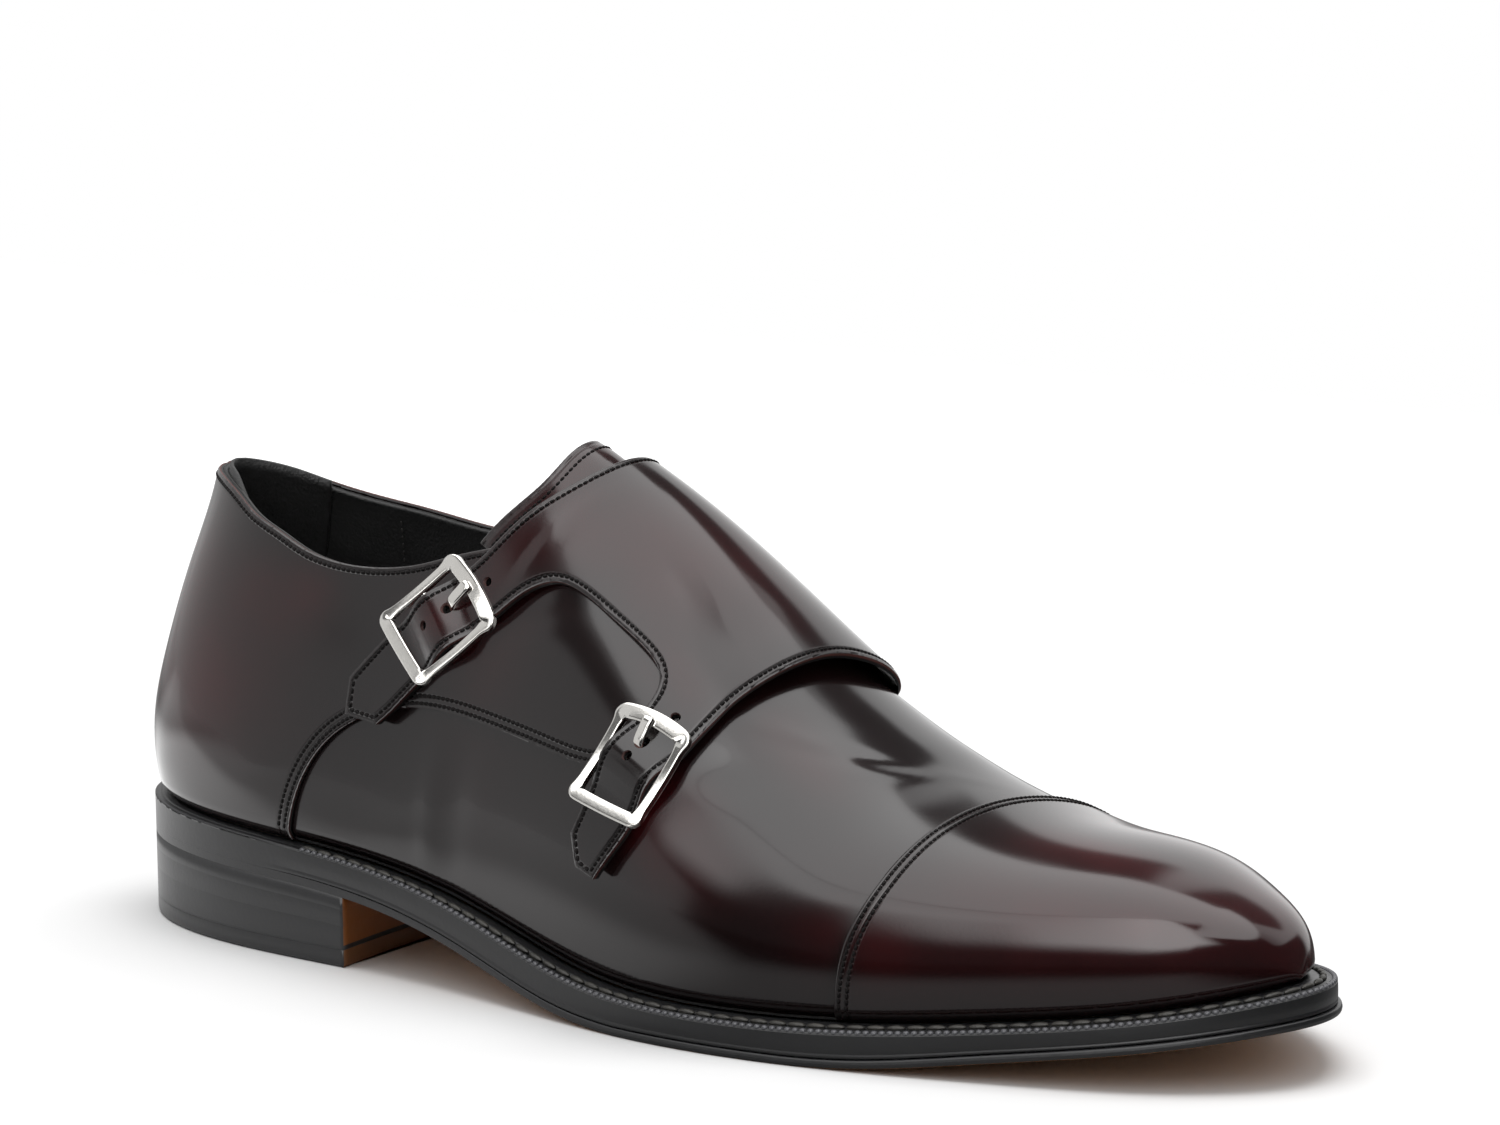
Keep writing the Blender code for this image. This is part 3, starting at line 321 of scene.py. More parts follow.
def outward(x, t):
    """Unit direction out of the leather, level along the feather line."""
    a = np.clip(angle_of(np.asarray(x, float)), 0.02, math.pi - 0.02)
    a, t = np.broadcast_arrays(a, np.asarray(t, float))
    e = 0.004
    lo, hi = np.clip(t - e, -1.0, 1.0), np.clip(t + e, -1.0, 1.0)
    along = surface(x_of(a + e), t) - surface(x_of(a - e), t)
    across = surface(x_of(a), hi) - surface(x_of(a), lo)
    n = np.cross(along, across)
    n /= np.linalg.norm(n, axis=-1, keepdims=True)
    level = np.clip((1.0 - np.abs(t)) / 0.12, 0.0, 1.0)
    n[..., 2] *= level * level * (3.0 - 2.0 * level)
    x = np.broadcast_to(np.asarray(x, float), n.shape[:-1])
    n[..., 1] = np.where(x < X_BACK + 0.01, 0.0, n[..., 1])
    n = np.where((x > X_TIP - 0.01)[..., None], np.array([1.0, 0.0, 0.0]), n)
    return n / np.linalg.norm(n, axis=-1, keepdims=True)


def lay(x, t, h):
    """Point at depth h from the surface."""
    return surface(x, t) + outward(x, t) * np.asarray(h, float)[..., None]


# ---------------------------------------------------------- flat and curved
def run_length(side):
    """Length along one side of the plan, from the heel back: x and distance."""
    s = np.cumsum(np.linalg.norm(np.diff(side, axis=0), axis=1))
    return side[:, 0], np.concatenate([[0.0], s])


RUN = {-1: run_length(SIDE_LATERAL), 1: run_length(SIDE_MEDIAL),
       0: (np.array([X_BACK, X_TIP]), np.array([0.0, X_TIP - X_BACK]))}


def to_flat(x, t, side):
    """Flat pattern place of x and t; from_flat is its inverse."""
    xs, s = RUN[side]
    return np.column_stack([np.interp(x, xs, s), np.asarray(t, float) * T_MM])


def from_flat(p, side):
    xs, s = RUN[side]
    return np.interp(p[:, 0], s, xs), p[:, 1] / T_MM


def steps(curve):
    """Distance along a curve at each of its points."""
    return np.concatenate([[0.0], np.cumsum(np.linalg.norm(np.diff(curve, axis=0), axis=1))])


def resample(curve, spacing):
    s = steps(curve)
    at = np.linspace(0.0, s[-1], max(2, int(round(s[-1] / spacing)) + 1))
    return np.column_stack([np.interp(at, s, curve[:, k]) for k in range(curve.shape[1])])


RUN_STEP = 0.7              # between the points of a cut edge


def flat_run(run, side, spacing=RUN_STEP):
    """Smooth flat curve through (x, t) points."""
    p = np.array(run, float) * (1.0, T_MM)
    count = max(12, int(np.linalg.norm(np.diff(p, axis=0), axis=1).sum() * 6))
    fine = smooth_curve(p, count) if len(p) > 2 else np.linspace(p[0], p[1], count)
    return resample(to_flat(fine[:, 0], fine[:, 1] / T_MM, side), spacing)


def joined(runs):
    """Closed outline from flat runs that meet end to end."""
    out = []
    for run in runs:
        start = 1 if out and np.linalg.norm(run[0] - out[-1]) < 0.2 else 0
        out.extend(run[start:])
    if np.linalg.norm(out[0] - out[-1]) < 0.2:
        out.pop()
    return out


def all_geom(bm):
    return bm.verts[:] + bm.edges[:] + bm.faces[:]


def slice_up(bm, axis, places):
    """Cross a flat sheet by straight lines at places on an axis."""
    normal = (1.0, 0.0, 0.0) if axis == 0 else (0.0, 1.0, 0.0)
    for place in places:
        spot = (place, 0.0, 0.0) if axis == 0 else (0.0, place, 0.0)
        bmesh.ops.bisect_plane(bm, geom=all_geom(bm), plane_co=spot, plane_no=normal, dist=1e-4)


def split_wide_faces(bm):
    bmesh.ops.triangulate(bm, faces=[f for f in bm.faces if len(f.verts) > 4])


def sheet(outline, spacing, holes=()):
    """Flat piece with narrow rims along its outline, crossed by lines so that it can bend."""
    bm = bmesh.new()
    face = bm.faces.new([bm.verts.new((p[0], p[1], 0.0)) for p in outline])
    for width in (0.12, 0.33):
        bmesh.ops.inset_region(bm, faces=[face], thickness=width, use_even_offset=True, use_boundary=True)
    low = np.min(outline, axis=0)
    high = np.max(outline, axis=0)
    for axis in (0, 1):
        slice_up(bm, axis, np.arange(low[axis] + spacing / 2.0, high[axis], spacing))
    for spot, turn in holes:
        punch(bm, spot, turn)
    split_wide_faces(bm)
    return bm


def punch(bm, spot, turn):
    """Round hole with sixteen sides; turn takes its own circle to the flat."""
    back = np.linalg.inv(turn)
    long = float(np.linalg.norm(turn, 2))
    middle = Vector((spot[0], spot[1], 0.0))
    for angle in 2.0 * math.pi * np.arange(16) / 16.0:
        ray = np.array([math.cos(angle), math.sin(angle)])
        place, normal = turn @ ray, back.T @ ray
        near = [f for f in bm.faces if (f.calc_center_median() - middle).length < long * 2.2]
        geom = set(near)
        for f in near:
            geom.update(f.edges)
            geom.update(f.verts)
        bmesh.ops.bisect_plane(bm, geom=list(geom), plane_co=(spot[0] + place[0], spot[1] + place[1], 0.0),
                               plane_no=(normal[0], normal[1], 0.0), dist=1e-4)
    inside = []
    for f in bm.faces:
        c = f.calc_center_median()
        if np.linalg.norm(back @ (c.x - spot[0], c.y - spot[1])) < 0.98:
            inside.append(f)
    bmesh.ops.delete(bm, geom=inside, context="FACES")


def facing(x, t, height):
    """Unit normals of the surface at height(x, t)."""
    a = np.clip(angle_of(x), 0.02, math.pi - 0.02)
    e = 0.004
    low, high = np.clip(t - e, -1.0, 1.0), np.clip(t + e, -1.0, 1.0)
    fore, back = x_of(a + e), x_of(a - e)
    mid = x_of(a)
    along = lay(fore, t, height(fore, t)) - lay(back, t, height(back, t))
    across = lay(mid, high, height(mid, high)) - lay(mid, low, height(mid, low))
    n = np.cross(along, across)
    return n / np.linalg.norm(n, axis=1, keepdims=True)


def search_tree(pts):
    tree = KDTree(len(pts))
    for i, p in enumerate(pts):
        tree.insert(p, i)
    tree.balance()
    return tree


def spread(curves, side, height):
    """Search tree over flat curves laid at a height, finely spaced."""
    pts = []
    for curve in curves:
        fine = resample(np.asarray(curve, float), 0.15)
        x, t = from_flat(fine, side)
        pts.append(lay(x, t, height(x, t)))
    return search_tree(np.concatenate(pts))


FAR = 9.0                   # distances along the leather are not told apart past this
RIM_WIDE = 0.45             # rounding of a cut edge: width and drop
RIM_DROP = 0.32


def reach(tree, pts, wanted):
    """Distance of each wanted point from the tree, up to a limit."""
    out = np.full(len(pts), FAR)
    for i in np.nonzero(wanted)[0]:
        out[i] = min(FAR, tree.find(pts[i])[2])
    return out


def settle(name, bm, finishes, nodes=(), attrs=None, normals=None):
    """Turn a finished shape in last millimetres into a piece of the shoe."""
    bmesh.ops.translate(bm, vec=-Vector(FRAME_SHIFT), verts=bm.verts)
    bmesh.ops.scale(bm, vec=(0.001, 0.001, 0.001), verts=bm.verts)
    mesh = bpy.data.meshes.new(name)
    bm.to_mesh(mesh)
    bm.free()
    for finish in finishes:
        mesh.materials.append(finish)
    mesh.shade_smooth()
    for key, values in (attrs or {}).items():
        mesh.attributes.new(key, "FLOAT", "POINT").data.foreach_set("value", values.astype(np.float32))
    if normals is not None:
        mesh.normals_split_custom_set_from_vertices(normals)
    obj = bpy.data.objects.new(name, mesh)
    bpy.context.scene.collection.objects.link(obj)
    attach(obj, "root")
    if nodes:
        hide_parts(*nodes)
    return obj


def add_layer(bm):
    """Second layer at z = 1 over a flat sheet, joined to it along the rim."""
    ret = bmesh.ops.extrude_face_region(bm, geom=bm.faces[:], use_keep_orig=True)
    for e in ret["geom"]:
        if isinstance(e, bmesh.types.BMVert):
            e.co.z = 1.0
    bm.verts.index_update()


def drape(name, bm, side, outer, inner, finishes, outline, single=(), double=(), patina=None, nodes=(),
          shade=()):
    """Give a flat sheet its thickness and lay it on the last.

    The attributes hold distances in mm from the rim, from the seams of one and of two rows and
    from the shaded lines; depth is 1 at the inner side, and red shows the burgundy.
    """
    add_layer(bm)
    flat = np.array([v.co for v in bm.verts])
    top = flat[:, 2] > 0.5
    for f in bm.faces:
        levels = {v.co.z > 0.5 for v in f.verts}
        f.material_index = len(levels) - 1
    x, t = from_flat(flat, side)
    high = outer(x, t)
    body = lay(x, t, high)

    def away(curves):
        return reach(spread(curves, side, outer), body, top) if curves else np.full(len(x), FAR)

    rim = away([np.array(outline)] if len(outline) else [])
    edge = np.clip(1.0 - rim / RIM_WIDE, 0.0, 1.0)
    n = facing(x, t, outer)
    h = np.where(top, high - RIM_DROP * edge ** 2, inner(x, t))
    for v, p in zip(bm.verts, lay(x, t, h)):
        v.co = p
    bmesh.ops.recalc_face_normals(bm, faces=bm.faces)
    attrs = {"depth": np.where(top, 0.0, 1.0), "seam": away(single), "seam_double": away(double),
             "shade": away(shade), "red": patina(x, t) if patina else np.zeros(len(x))}
    n[(rim < RIM_WIDE - 0.01) | ~top] = 0.0
    return settle(name, bm, finishes, nodes, attrs, n)


def net(columns, rows, place, close_u=False, close_v=False, weld=0.0005):
    """Grid of columns by rows moved to place(i, j); closed sides are welded."""
    bm = bmesh.new()
    bmesh.ops.create_grid(bm, x_segments=columns - 1, y_segments=rows - 1, size=1.0)
    co = np.array([v.co for v in bm.verts])
    i = np.rint((co[:, 0] + 1.0) / 2.0 * (columns - 1)).astype(int)
    j = np.rint((co[:, 1] + 1.0) / 2.0 * (rows - 1)).astype(int)
    for v, p in zip(bm.verts, place(i, j)):
        v.co = p
    if close_u or close_v:
        bmesh.ops.remove_doubles(bm, verts=bm.verts, dist=weld)
    bmesh.ops.recalc_face_normals(bm, faces=bm.faces)
    bm.verts.index_update()
    return bm


# ------------------------------------------------------- heights of the leather
TUCK_WIDE = 3.4             # leather turning under at the feather line
TUCK_DEEP = 1.8
GIRTH_X = x_of(np.linspace(0.03, math.pi, 120))
GIRTH = {k: np.linalg.norm(surface(GIRTH_X, k * 1.0) - surface(GIRTH_X, k * 0.95), axis=1) / 0.05
         for k in (-1, 1)}

# soft folds and hollows of the leather: x, t, half length, half width, turn in degrees, rise
FLAP_FOLDS = (
    (118.5, -0.370, 16.0, 2.6, 62.0, -0.35),
    (123.5, -0.350, 13.0, 3.0, 66.0, 0.30),
    (152.0, -0.300, 18.0, 7.0, 20.0, -0.30),
    (166.0, -0.150, 12.0, 5.0, 80.0, -0.25),
    (140.0, -0.180, 24.0, 8.0, 10.0, 0.20),
)
FOLDS = (
    (98.0, -0.88, 9.0, 3.0, 78.0, 0.25),
    (119.0, -0.505, 15.0, 5.0, 25.0, -0.75),
    (106.0, -0.86, 9.0, 4.0, 70.0, -0.30),
    (88.0, -0.93, 12.0, 3.5, 10.0, 0.20),
    (30.0, -0.93, 14.0, 4.0, -8.0, -0.25),
    (48.0, -0.90, 10.0, 3.5, 15.0, 0.18),
    (14.0, -0.91, 9.0, 3.5, 20.0, 0.16),
    (188.0, -0.14, 13.0, 6.0, 60.0, -0.30),
    (196.0, 0.02, 14.0, 5.0, 75.0, 0.16),
    (176.0, -0.52, 10.0, 5.0, 40.0, -0.35),
    (203.0, -0.40, 22.0, 9.0, 80.0, -0.16),
    (196.0, -0.16, 16.0, 2.6, 48.0, -0.22),
    (204.0, -0.08, 12.0, 2.6, 62.0, 0.20),
    (186.0, -0.26, 13.0, 2.4, 35.0, 0.16),
    (140.0, 0.88, 18.0, 5.0, 0.0, -0.25),
    (100.0, 0.90, 12.0, 4.0, 60.0, 0.22),
    (36.0, 0.92, 12.0, 4.0, 12.0, -0.22),
    (190.0, 0.30, 20.0, 7.0, 70.0, -0.25),
    (110.0, -0.62, 14.0, 7.0, 25.0, -0.22),
)

# broad fullness of the shaped upper over the bare last: x, t, half length, half width, rise
FULLNESS = (
    (0.0, -0.70, 16.0, 30.0, -0.9),
    (0.0, 0.70, 16.0, 30.0, -0.9),
    (193.0, 0.34, 15.0, 26.0, 0.8),
    (237.0, 0.32, 15.0, 34.0, -1.6),
    (257.0, 0.44, 14.0, 26.0, -0.6),
    (277.0, 0.52, 13.0, 34.0, -1.4),
)


def girth(x, t):
    """Length of the surface across the foot for one unit of t, near the feather line."""
    return np.where(t < 0.0, np.interp(x, GIRTH_X, GIRTH[-1]), np.interp(x, GIRTH_X, GIRTH[1]))


def tuck(x, t):
    """Turn of the leather under the last along the feather line."""
    wide = TUCK_WIDE / np.maximum(girth(x, t), 0.5)
    near = np.clip((np.minimum(np.abs(t), 1.0) - 1.0 + wide) / wide, 0.0, 1.0)
    return -TUCK_DEEP * near ** 2


def fullness(x, t):
    """Broad rises and hollows that every layer of the upper follows."""
    rise = 0.0 * x
    for fx, ft, long, wide, high in FULLNESS:
        rise = rise + high * np.exp(-((x - fx) / long) ** 2 - ((t - ft) * T_MM / wide) ** 2)
    return rise


def bumps(table, x, t):
    """Soft troughs and ridges of a table, each turned along its own fold."""
    rise = 0.0 * x
    for fx, ft, long, wide, turn, high in table:
        c, s = math.cos(math.radians(turn)), math.sin(math.radians(turn))
        du, dv = x - fx, (t - ft) * FOLD_MM
        rise = rise + high * np.exp(-((du * c + dv * s) / long) ** 2 - ((dv * c - du * s) / wide) ** 2)
    return rise


def folds(x, t):
    return fullness(x, t) + bumps(FOLDS, x, t)


def smooth_step(value, low, high):
    s = np.clip((value - low) / (high - low), 0.0, 1.0)
    return s * s * (3.0 - 2.0 * s)


class Buckle:
    """Local frame of a buckle: a along the strap toward the instep, b across it, in mm."""

    def __init__(self, name, x, t, direction):
        self.name, self.x, self.t = name, x, t
        e = 0.01
        jac = np.stack([(surface(x + 1.0, t) - surface(x - 1.0, t)) / 2.0,
                        (surface(x, t + e) - surface(x, t - e)) / (2.0 * e)], -1)
        n = outward(x, t)
        u = np.array(direction, float)
        u -= n * (u @ n)
        u /= np.linalg.norm(u)
        self.solve = np.linalg.pinv(jac) @ np.stack([u, np.cross(n, u)], -1)

    def flat(self, a, b):
        d = self.solve @ np.array([a, b], float)
        return self.x + d[0], self.t + d[1]

    def local(self, x, t):
        return np.linalg.solve(self.solve, np.stack([x - self.x, t - self.t]))

    def point(self, a, b, h):
        x, t = self.flat(a, b)
        return lay(x, t, h)


SITES = [Buckle(*row) for row in BUCKLES]


def hump(x, t):
    """Rise of the straps where they pass over the centre bars."""
    rise = np.zeros(len(x))
    for bk in SITES:
        a, b = bk.local(x, t)
        near = (np.abs(a) < HUMP_HALF) & (np.abs(b) < HUMP_HALF)
        bell = np.cos(np.clip(a / HUMP_HALF, -1.0, 1.0) * math.pi / 2.0) ** 2
        rise = np.where(near, HUMP * bell, rise)
    return rise


def back_seam(x, side):
    """Hollow along the seam at the back of the heel."""
    away = np.interp(x, *RUN[side])
    return -0.45 * np.exp(-(away / 1.1) ** 2)


def over(t):
    """1 where the flap lies over the throat, 0 where it is the medial quarter."""
    return smooth_step(0.45 - t, 0.0, 0.70)


def vamp_out(x, t):
    return UPPER_OUT + tuck(x, t) + folds(x, t)


def vamp_in(x, t):
    return vamp_out(x, t) - 0.6


def quarter_out(x, t):
    return OVER_OUT + tuck(x, t) + folds(x, t) + back_seam(x, -1)


def quarter_in(x, t):
    return quarter_out(x, t) - OVERLAY


def flap_out(x, t):
    lift = over(t)
    thick = OVERLAY + (STRAP - OVERLAY) * lift
    base = OVER_IN + (FLAP_IN - OVER_IN) * lift + thick + hump(x, t)
    full = 1.1 + 1.1 * smooth_step(x, 125.0, 172.0)
    crown = full * smooth_step(-np.abs(t - 0.08), -0.54, -0.10)
    creased = folds(x, t) * (1.0 - lift) + bumps(FLAP_FOLDS, x, t) * lift
    return base + crown + tuck(x, t) + creased + back_seam(x, 1)


def flap_in(x, t):
    return flap_out(x, t) - OVERLAY - (STRAP - OVERLAY) * over(t)


def cap_out(x, t):
    return OVER_OUT + tuck(x, t) + fullness(x, t)


def cap_in(x, t):
    return cap_out(x, t) - OVERLAY


def tongue_out(x, t):
    crown = smooth_step(-np.abs(t), -0.38, -0.06)
    return TONGUE_OUT + (0.8 + 3.1 * crown) * smooth_step(-x, -150.0, -116.0)


def tongue_in(x, t):
    return tongue_out(x, t) - TONGUE


# ------------------------------------------------------------------- patina
# where the burgundy shows through the burnish: x, t, half length, half width, strength
BLUSH = (
    (26.0, -0.76, 24.0, 0.13, 0.62),
    (8.0, -0.62, 16.0, 0.16, 0.50),
    (46.0, -0.60, 15.0, 0.08, 0.42),
    (60.0, -0.56, 8.0, 0.05, 0.35),
    (252.0, -0.18, 15.0, 0.12, 0.70),
    (30.0, 0.72, 30.0, 0.20, 0.45),
    (166.0, -0.68, 10.0, 0.10, 0.90),
    (174.0, -0.72, 14.0, 0.10, 0.55),
    (215.0, -0.80, 13.0, 0.09, 0.60),
    (186.0, -0.30, 12.0, 0.10, 0.35),
    (165.0, 0.75, 26.0, 0.16, 0.50),
    (205.0, 0.75, 24.0, 0.16, 0.60),
    (258.0, -0.64, 36.0, 0.22, 0.66),
    (262.0, -0.25, 24.0, 0.22, 0.35),
    (248.0, 0.30, 22.0, 0.22, 0.50),
    (262.0, 0.66, 34.0, 0.26, 0.66),
    (286.0, 0.00, 13.0, 0.80, 0.55),
    (146.0, -0.22, 14.0, 0.16, 0.45),
    (128.0, -0.30, 10.0, 0.12, 0.35),
    (160.0, -0.05, 14.0, 0.16, 0.35),
    (135.0, 0.32, 24.0, 0.22, 0.45),
    (112.0, -0.20, 12.0, 0.40, 0.60),
    (100.0, -0.560, 9.0, 0.05, 0.80),
    (160.0, -0.42, 10.0, 0.06, 0.35),
)


def blush(x, t):
    """0 where burnished, up to 1 where the burgundy shows."""
    keep = np.ones(len(x))
    for bx, bt, long, wide, strength in BLUSH:
        keep *= 1.0 - strength * np.exp(-((x - bx) / long) ** 2 - ((t - bt) / wide) ** 2)
    return np.clip(1.0 - keep, 0.0, 1.0)


def flap_blush(x, t):
    """As blush, but the end of the lower strap stays dark."""
    return blush(x, t) * (1.0 - smooth_step(-t, 0.47, 0.54) * smooth_step(x, 128.0, 140.0))


# ------------------------------------------------------------------ finishes
def node(tree, kind, values=None, **settings):
    """New node with its inputs set, or linked to sockets and Values, and its own settings."""
    n = tree.nodes.new(kind)
    for key, value in settings.items():
        setattr(n, key, value)
    for key, value in (values or {}).items():
        value = getattr(value, "socket", value)
        if isinstance(value, bpy.types.NodeSocket):
            tree.links.new(value, n.inputs[key])
        else:
            n.inputs[key].default_value = value
    return n


def material(name):
    """Empty material: its tree, its shader and its name ready to use."""
    mat = bpy.data.materials.new(name)
    mat.use_nodes = True
    tree = mat.node_tree
    return mat, tree, tree.nodes["Principled BSDF"]


def group(name, inputs, outputs):
    """Shader node group of numbers: its tree, its inputs as Values and its output node."""
    tree = bpy.data.node_groups.new(name, "ShaderNodeTree")
    for label, value in inputs.items():
        tree.interface.new_socket(label, in_out="INPUT", socket_type="NodeSocketFloat").default_value = value
    for label in outputs:
        tree.interface.new_socket(label, in_out="OUTPUT", socket_type="NodeSocketFloat")
    start = tree.nodes.new("NodeGroupInput")
    return tree, [Value(start.outputs[label]) for label in inputs], tree.nodes.new("NodeGroupOutput")


def feed(target, values):
    """Link each socket or Value to the input that it is named for."""
    for key, value in values.items():
        target.id_data.links.new(getattr(value, "socket", value), target.inputs[key])


class Value:
    """Number that varies over a surface or the sky; arithmetic on it adds nodes to its tree."""

    def __init__(self, socket):
        self.socket = socket
        self.tree = socket.id_data

    def math(self, operation, *others, first=None, clamp=False):
        values = dict(enumerate([*([] if first is None else [first]), self, *others]))
        made = node(self.tree, "ShaderNodeMath", values, operation=operation, use_clamp=clamp)
        return Value(made.outputs[0])

    def __add__(self, other):
        return self.math("ADD", other)

    def __sub__(self, other):
        return self.math("SUBTRACT", other)

    def __rsub__(self, other):
        return self.math("SUBTRACT", first=other)

    def __mul__(self, other):
        return self.math("MULTIPLY", other)

    def scaled(self, factor, plus, clamp=False):
        return self.math("MULTIPLY_ADD", factor, plus, clamp=clamp)

    def at_least(self, other):
        return self.math("MAXIMUM", other)

    def at_most(self, other):
        return self.math("MINIMUM", other)

    def power_of_e(self):
        return self.math("POWER", first=math.e)

    def bell(self, centre, width):
        """1 at the centre, falling to either side."""
        off = (self - centre).math("DIVIDE", width)
        return (off * off * -1.0).power_of_e()

    def stretch(self, low, high, start, end, kind="LINEAR"):
        """From start at low to end at high, straight or smooth."""
        values = {"Value": self, "From Min": low, "From Max": high, "To Min": start, "To Max": end}
        made = node(self.tree, "ShaderNodeMapRange", values, interpolation_type=kind)
        return Value(made.outputs["Result"])

    def ramp(self, low, high, full=1.0):
        """0 below low, rising smoothly to its full value above high."""
        return self.stretch(low, high, 0.0, full, "SMOOTHSTEP")

    def fall(self, low, high, full=1.0):
        """Full value below low, falling smoothly to 0 above high."""
        return full - self.ramp(low, high, full)

    def window(self, low, high, soft):
        """1 between low and high, with soft edges."""
        half = soft / 2.0
        return self.ramp(low - half, low + half) * self.fall(high - half, high + half)


def attribute(tree, name):
    return Value(node(tree, "ShaderNodeAttribute", attribute_name=name).outputs["Fac"])


def mixed(tree, factor, low, high):
    """Colour between two colours."""
    made = node(tree, "ShaderNodeMix", {"Factor": factor, "A": low, "B": high}, data_type="RGBA")
    return made.outputs["Result"]


def bumped(tree, height, strength, distance):
    """Normal of a surface with a fine height over it."""
    made = node(tree, "ShaderNodeBump", {"Height": height, "Strength": strength, "Distance": distance})
    return made.outputs["Normal"]


def object_place(tree):
    return node(tree, "ShaderNodeTexCoord").outputs["Object"]


def make_grain_group():
    """Pores and fine wrinkles of leather, as a height, and a slow cloud."""
    tree, (pores, wave), end = group("Leather grain", {"Pores": 1500.0, "Wave": 90.0}, ("Height", "Cloud"))
    place = object_place(tree)
    cells = node(tree, "ShaderNodeTexVoronoi", {"Vector": place, "Scale": pores}, feature="F1")
    fine = node(tree, "ShaderNodeTexNoise", {"Vector": place, "Scale": pores, "Detail": 2.0})
    wrinkles = node(tree, "ShaderNodeTexNoise", {"Vector": place, "Scale": wave, "Detail": 3.0})
    cloud = node(tree, "ShaderNodeTexNoise",
                 {"Vector": place, "Scale": 38.0, "Detail": 4.0, "Roughness": 0.55})
    small = Value(cells.outputs["Distance"]).scaled(0.5, fine.outputs["Fac"])
    feed(end, {"Height": Value(wrinkles.outputs["Fac"]).scaled(2.5, small), "Cloud": cloud.outputs["Fac"]})
    return tree


def make_seam_group():
    """Grooves under the stitches, and a darkening near them: burnish along the seams and painted shade along
    the edges of pieces laid over the leather.
    """
    tree, (one, two, edge), end = group("Seam", {"Single": FAR, "Double": FAR, "Edge": FAR},
                                        ("Groove", "Burnish and shade"))
    groove = one.bell(ROW_SINGLE, 0.40) + two.bell(ROW_NEAR, 0.36) + two.bell(ROW_FAR, 0.36)
    nearest = one.at_most(two).at_most(edge)
    feed(end, {"Groove": groove, "Burnish and shade": (nearest * -0.33).power_of_e()})
    return tree


def calf(name, groups, settings):
    """Polished calf: burnished towards black at the seams, with painted shade along the edges laid over it,
    burgundy where it was left light.
    """
    mat, tree, shader = material(name)
    grain = node(tree, "ShaderNodeGroup", node_tree=groups["grain"])
    lines = {"Single": "seam", "Double": "seam_double", "Edge": "shade"}
    seam = node(tree, "ShaderNodeGroup", {key: attribute(tree, name) for key, name in lines.items()},
                node_tree=groups["seam"])
    cloud = Value(grain.outputs["Cloud"]).scaled(1.6, -0.30, clamp=True)
    # burnish near the seams and painted shade near the covering edges both take the colour to the dark end
    burnish_and_shade = Value(seam.outputs["Burnish and shade"])
    red = attribute(tree, "red") * cloud.scaled(0.9, 0.45)
    red = red.math("MULTIPLY", 1.0 - burnish_and_shade, clamp=True)
    height = Value(seam.outputs["Groove"]).scaled(-1.5, Value(grain.outputs["Height"]) * 0.014)
    feed(shader, {"Base Color": mixed(tree, red, settings.burnish_and_shade, settings.burgundy),
                  "Roughness": burnish_and_shade.scaled(0.10, cloud.scaled(0.05, settings.gloss)),
                  "Normal": bumped(tree, height, 0.6, 0.0004)})
    shader.inputs["Coat Weight"].default_value = 0.3
    shader.inputs["Coat Roughness"].default_value = 0.05
    shader.inputs["IOR"].default_value = 1.5
    return mat


def plain(name, groups, colour, rough, grain=0.3, distance=0.0003, light=None, metallic=0.0, pores=1500.0,
          shine=0.5):
    """Dressed leather, thread or metal with some cloud in its tone and a fine surface."""
    mat, tree, shader = material(name)
    g = node(tree, "ShaderNodeGroup", {"Pores": pores}, node_tree=groups["grain"])
    cloud = Value(g.outputs["Cloud"]).scaled(2.0, -0.5, clamp=True)
    feed(shader, {"Roughness": cloud.scaled(0.08, rough),
                  "Normal": bumped(tree, g.outputs["Height"], grain, distance)})
    if light:
        feed(shader, {"Base Color": mixed(tree, cloud, colour, light)})
    else:
        shader.inputs["Base Color"].default_value = colour
    shader.inputs["Metallic"].default_value = metallic
    shader.inputs["Specular IOR Level"].default_value = shine
    return mat


def layered_edge(name, groups):
    """Cut edge of the leather: brown calf over its black backing."""
    mat, tree, shader = material(name)
    g = node(tree, "ShaderNodeGroup", {"Pores": 2200.0}, node_tree=groups["grain"])
    line = attribute(tree, "depth").stretch(0.42, 0.52, 0.0, 1.0)
    brown = mixed(tree, g.outputs["Cloud"], (0.040, 0.014, 0.012, 1.0), (0.085, 0.028, 0.024, 1.0))
    tone = mixed(tree, line, brown, (0.004, 0.004, 0.004, 1.0))
    feed(shader, {"Base Color": tone, "Normal": bumped(tree, g.outputs["Height"], 0.35, 0.0003)})
    shader.inputs["Roughness"].default_value = 0.5
    shader.inputs["Specular IOR Level"].default_value = 0.3
    return mat


ROW_SINGLE = 1.35           # stitch rows: distance in from a finished edge
ROW_NEAR = 1.05
ROW_FAR = 2.75
ROW_TONGUE = 3.2
FINISH = {}                 # every material of the shoe by its finish


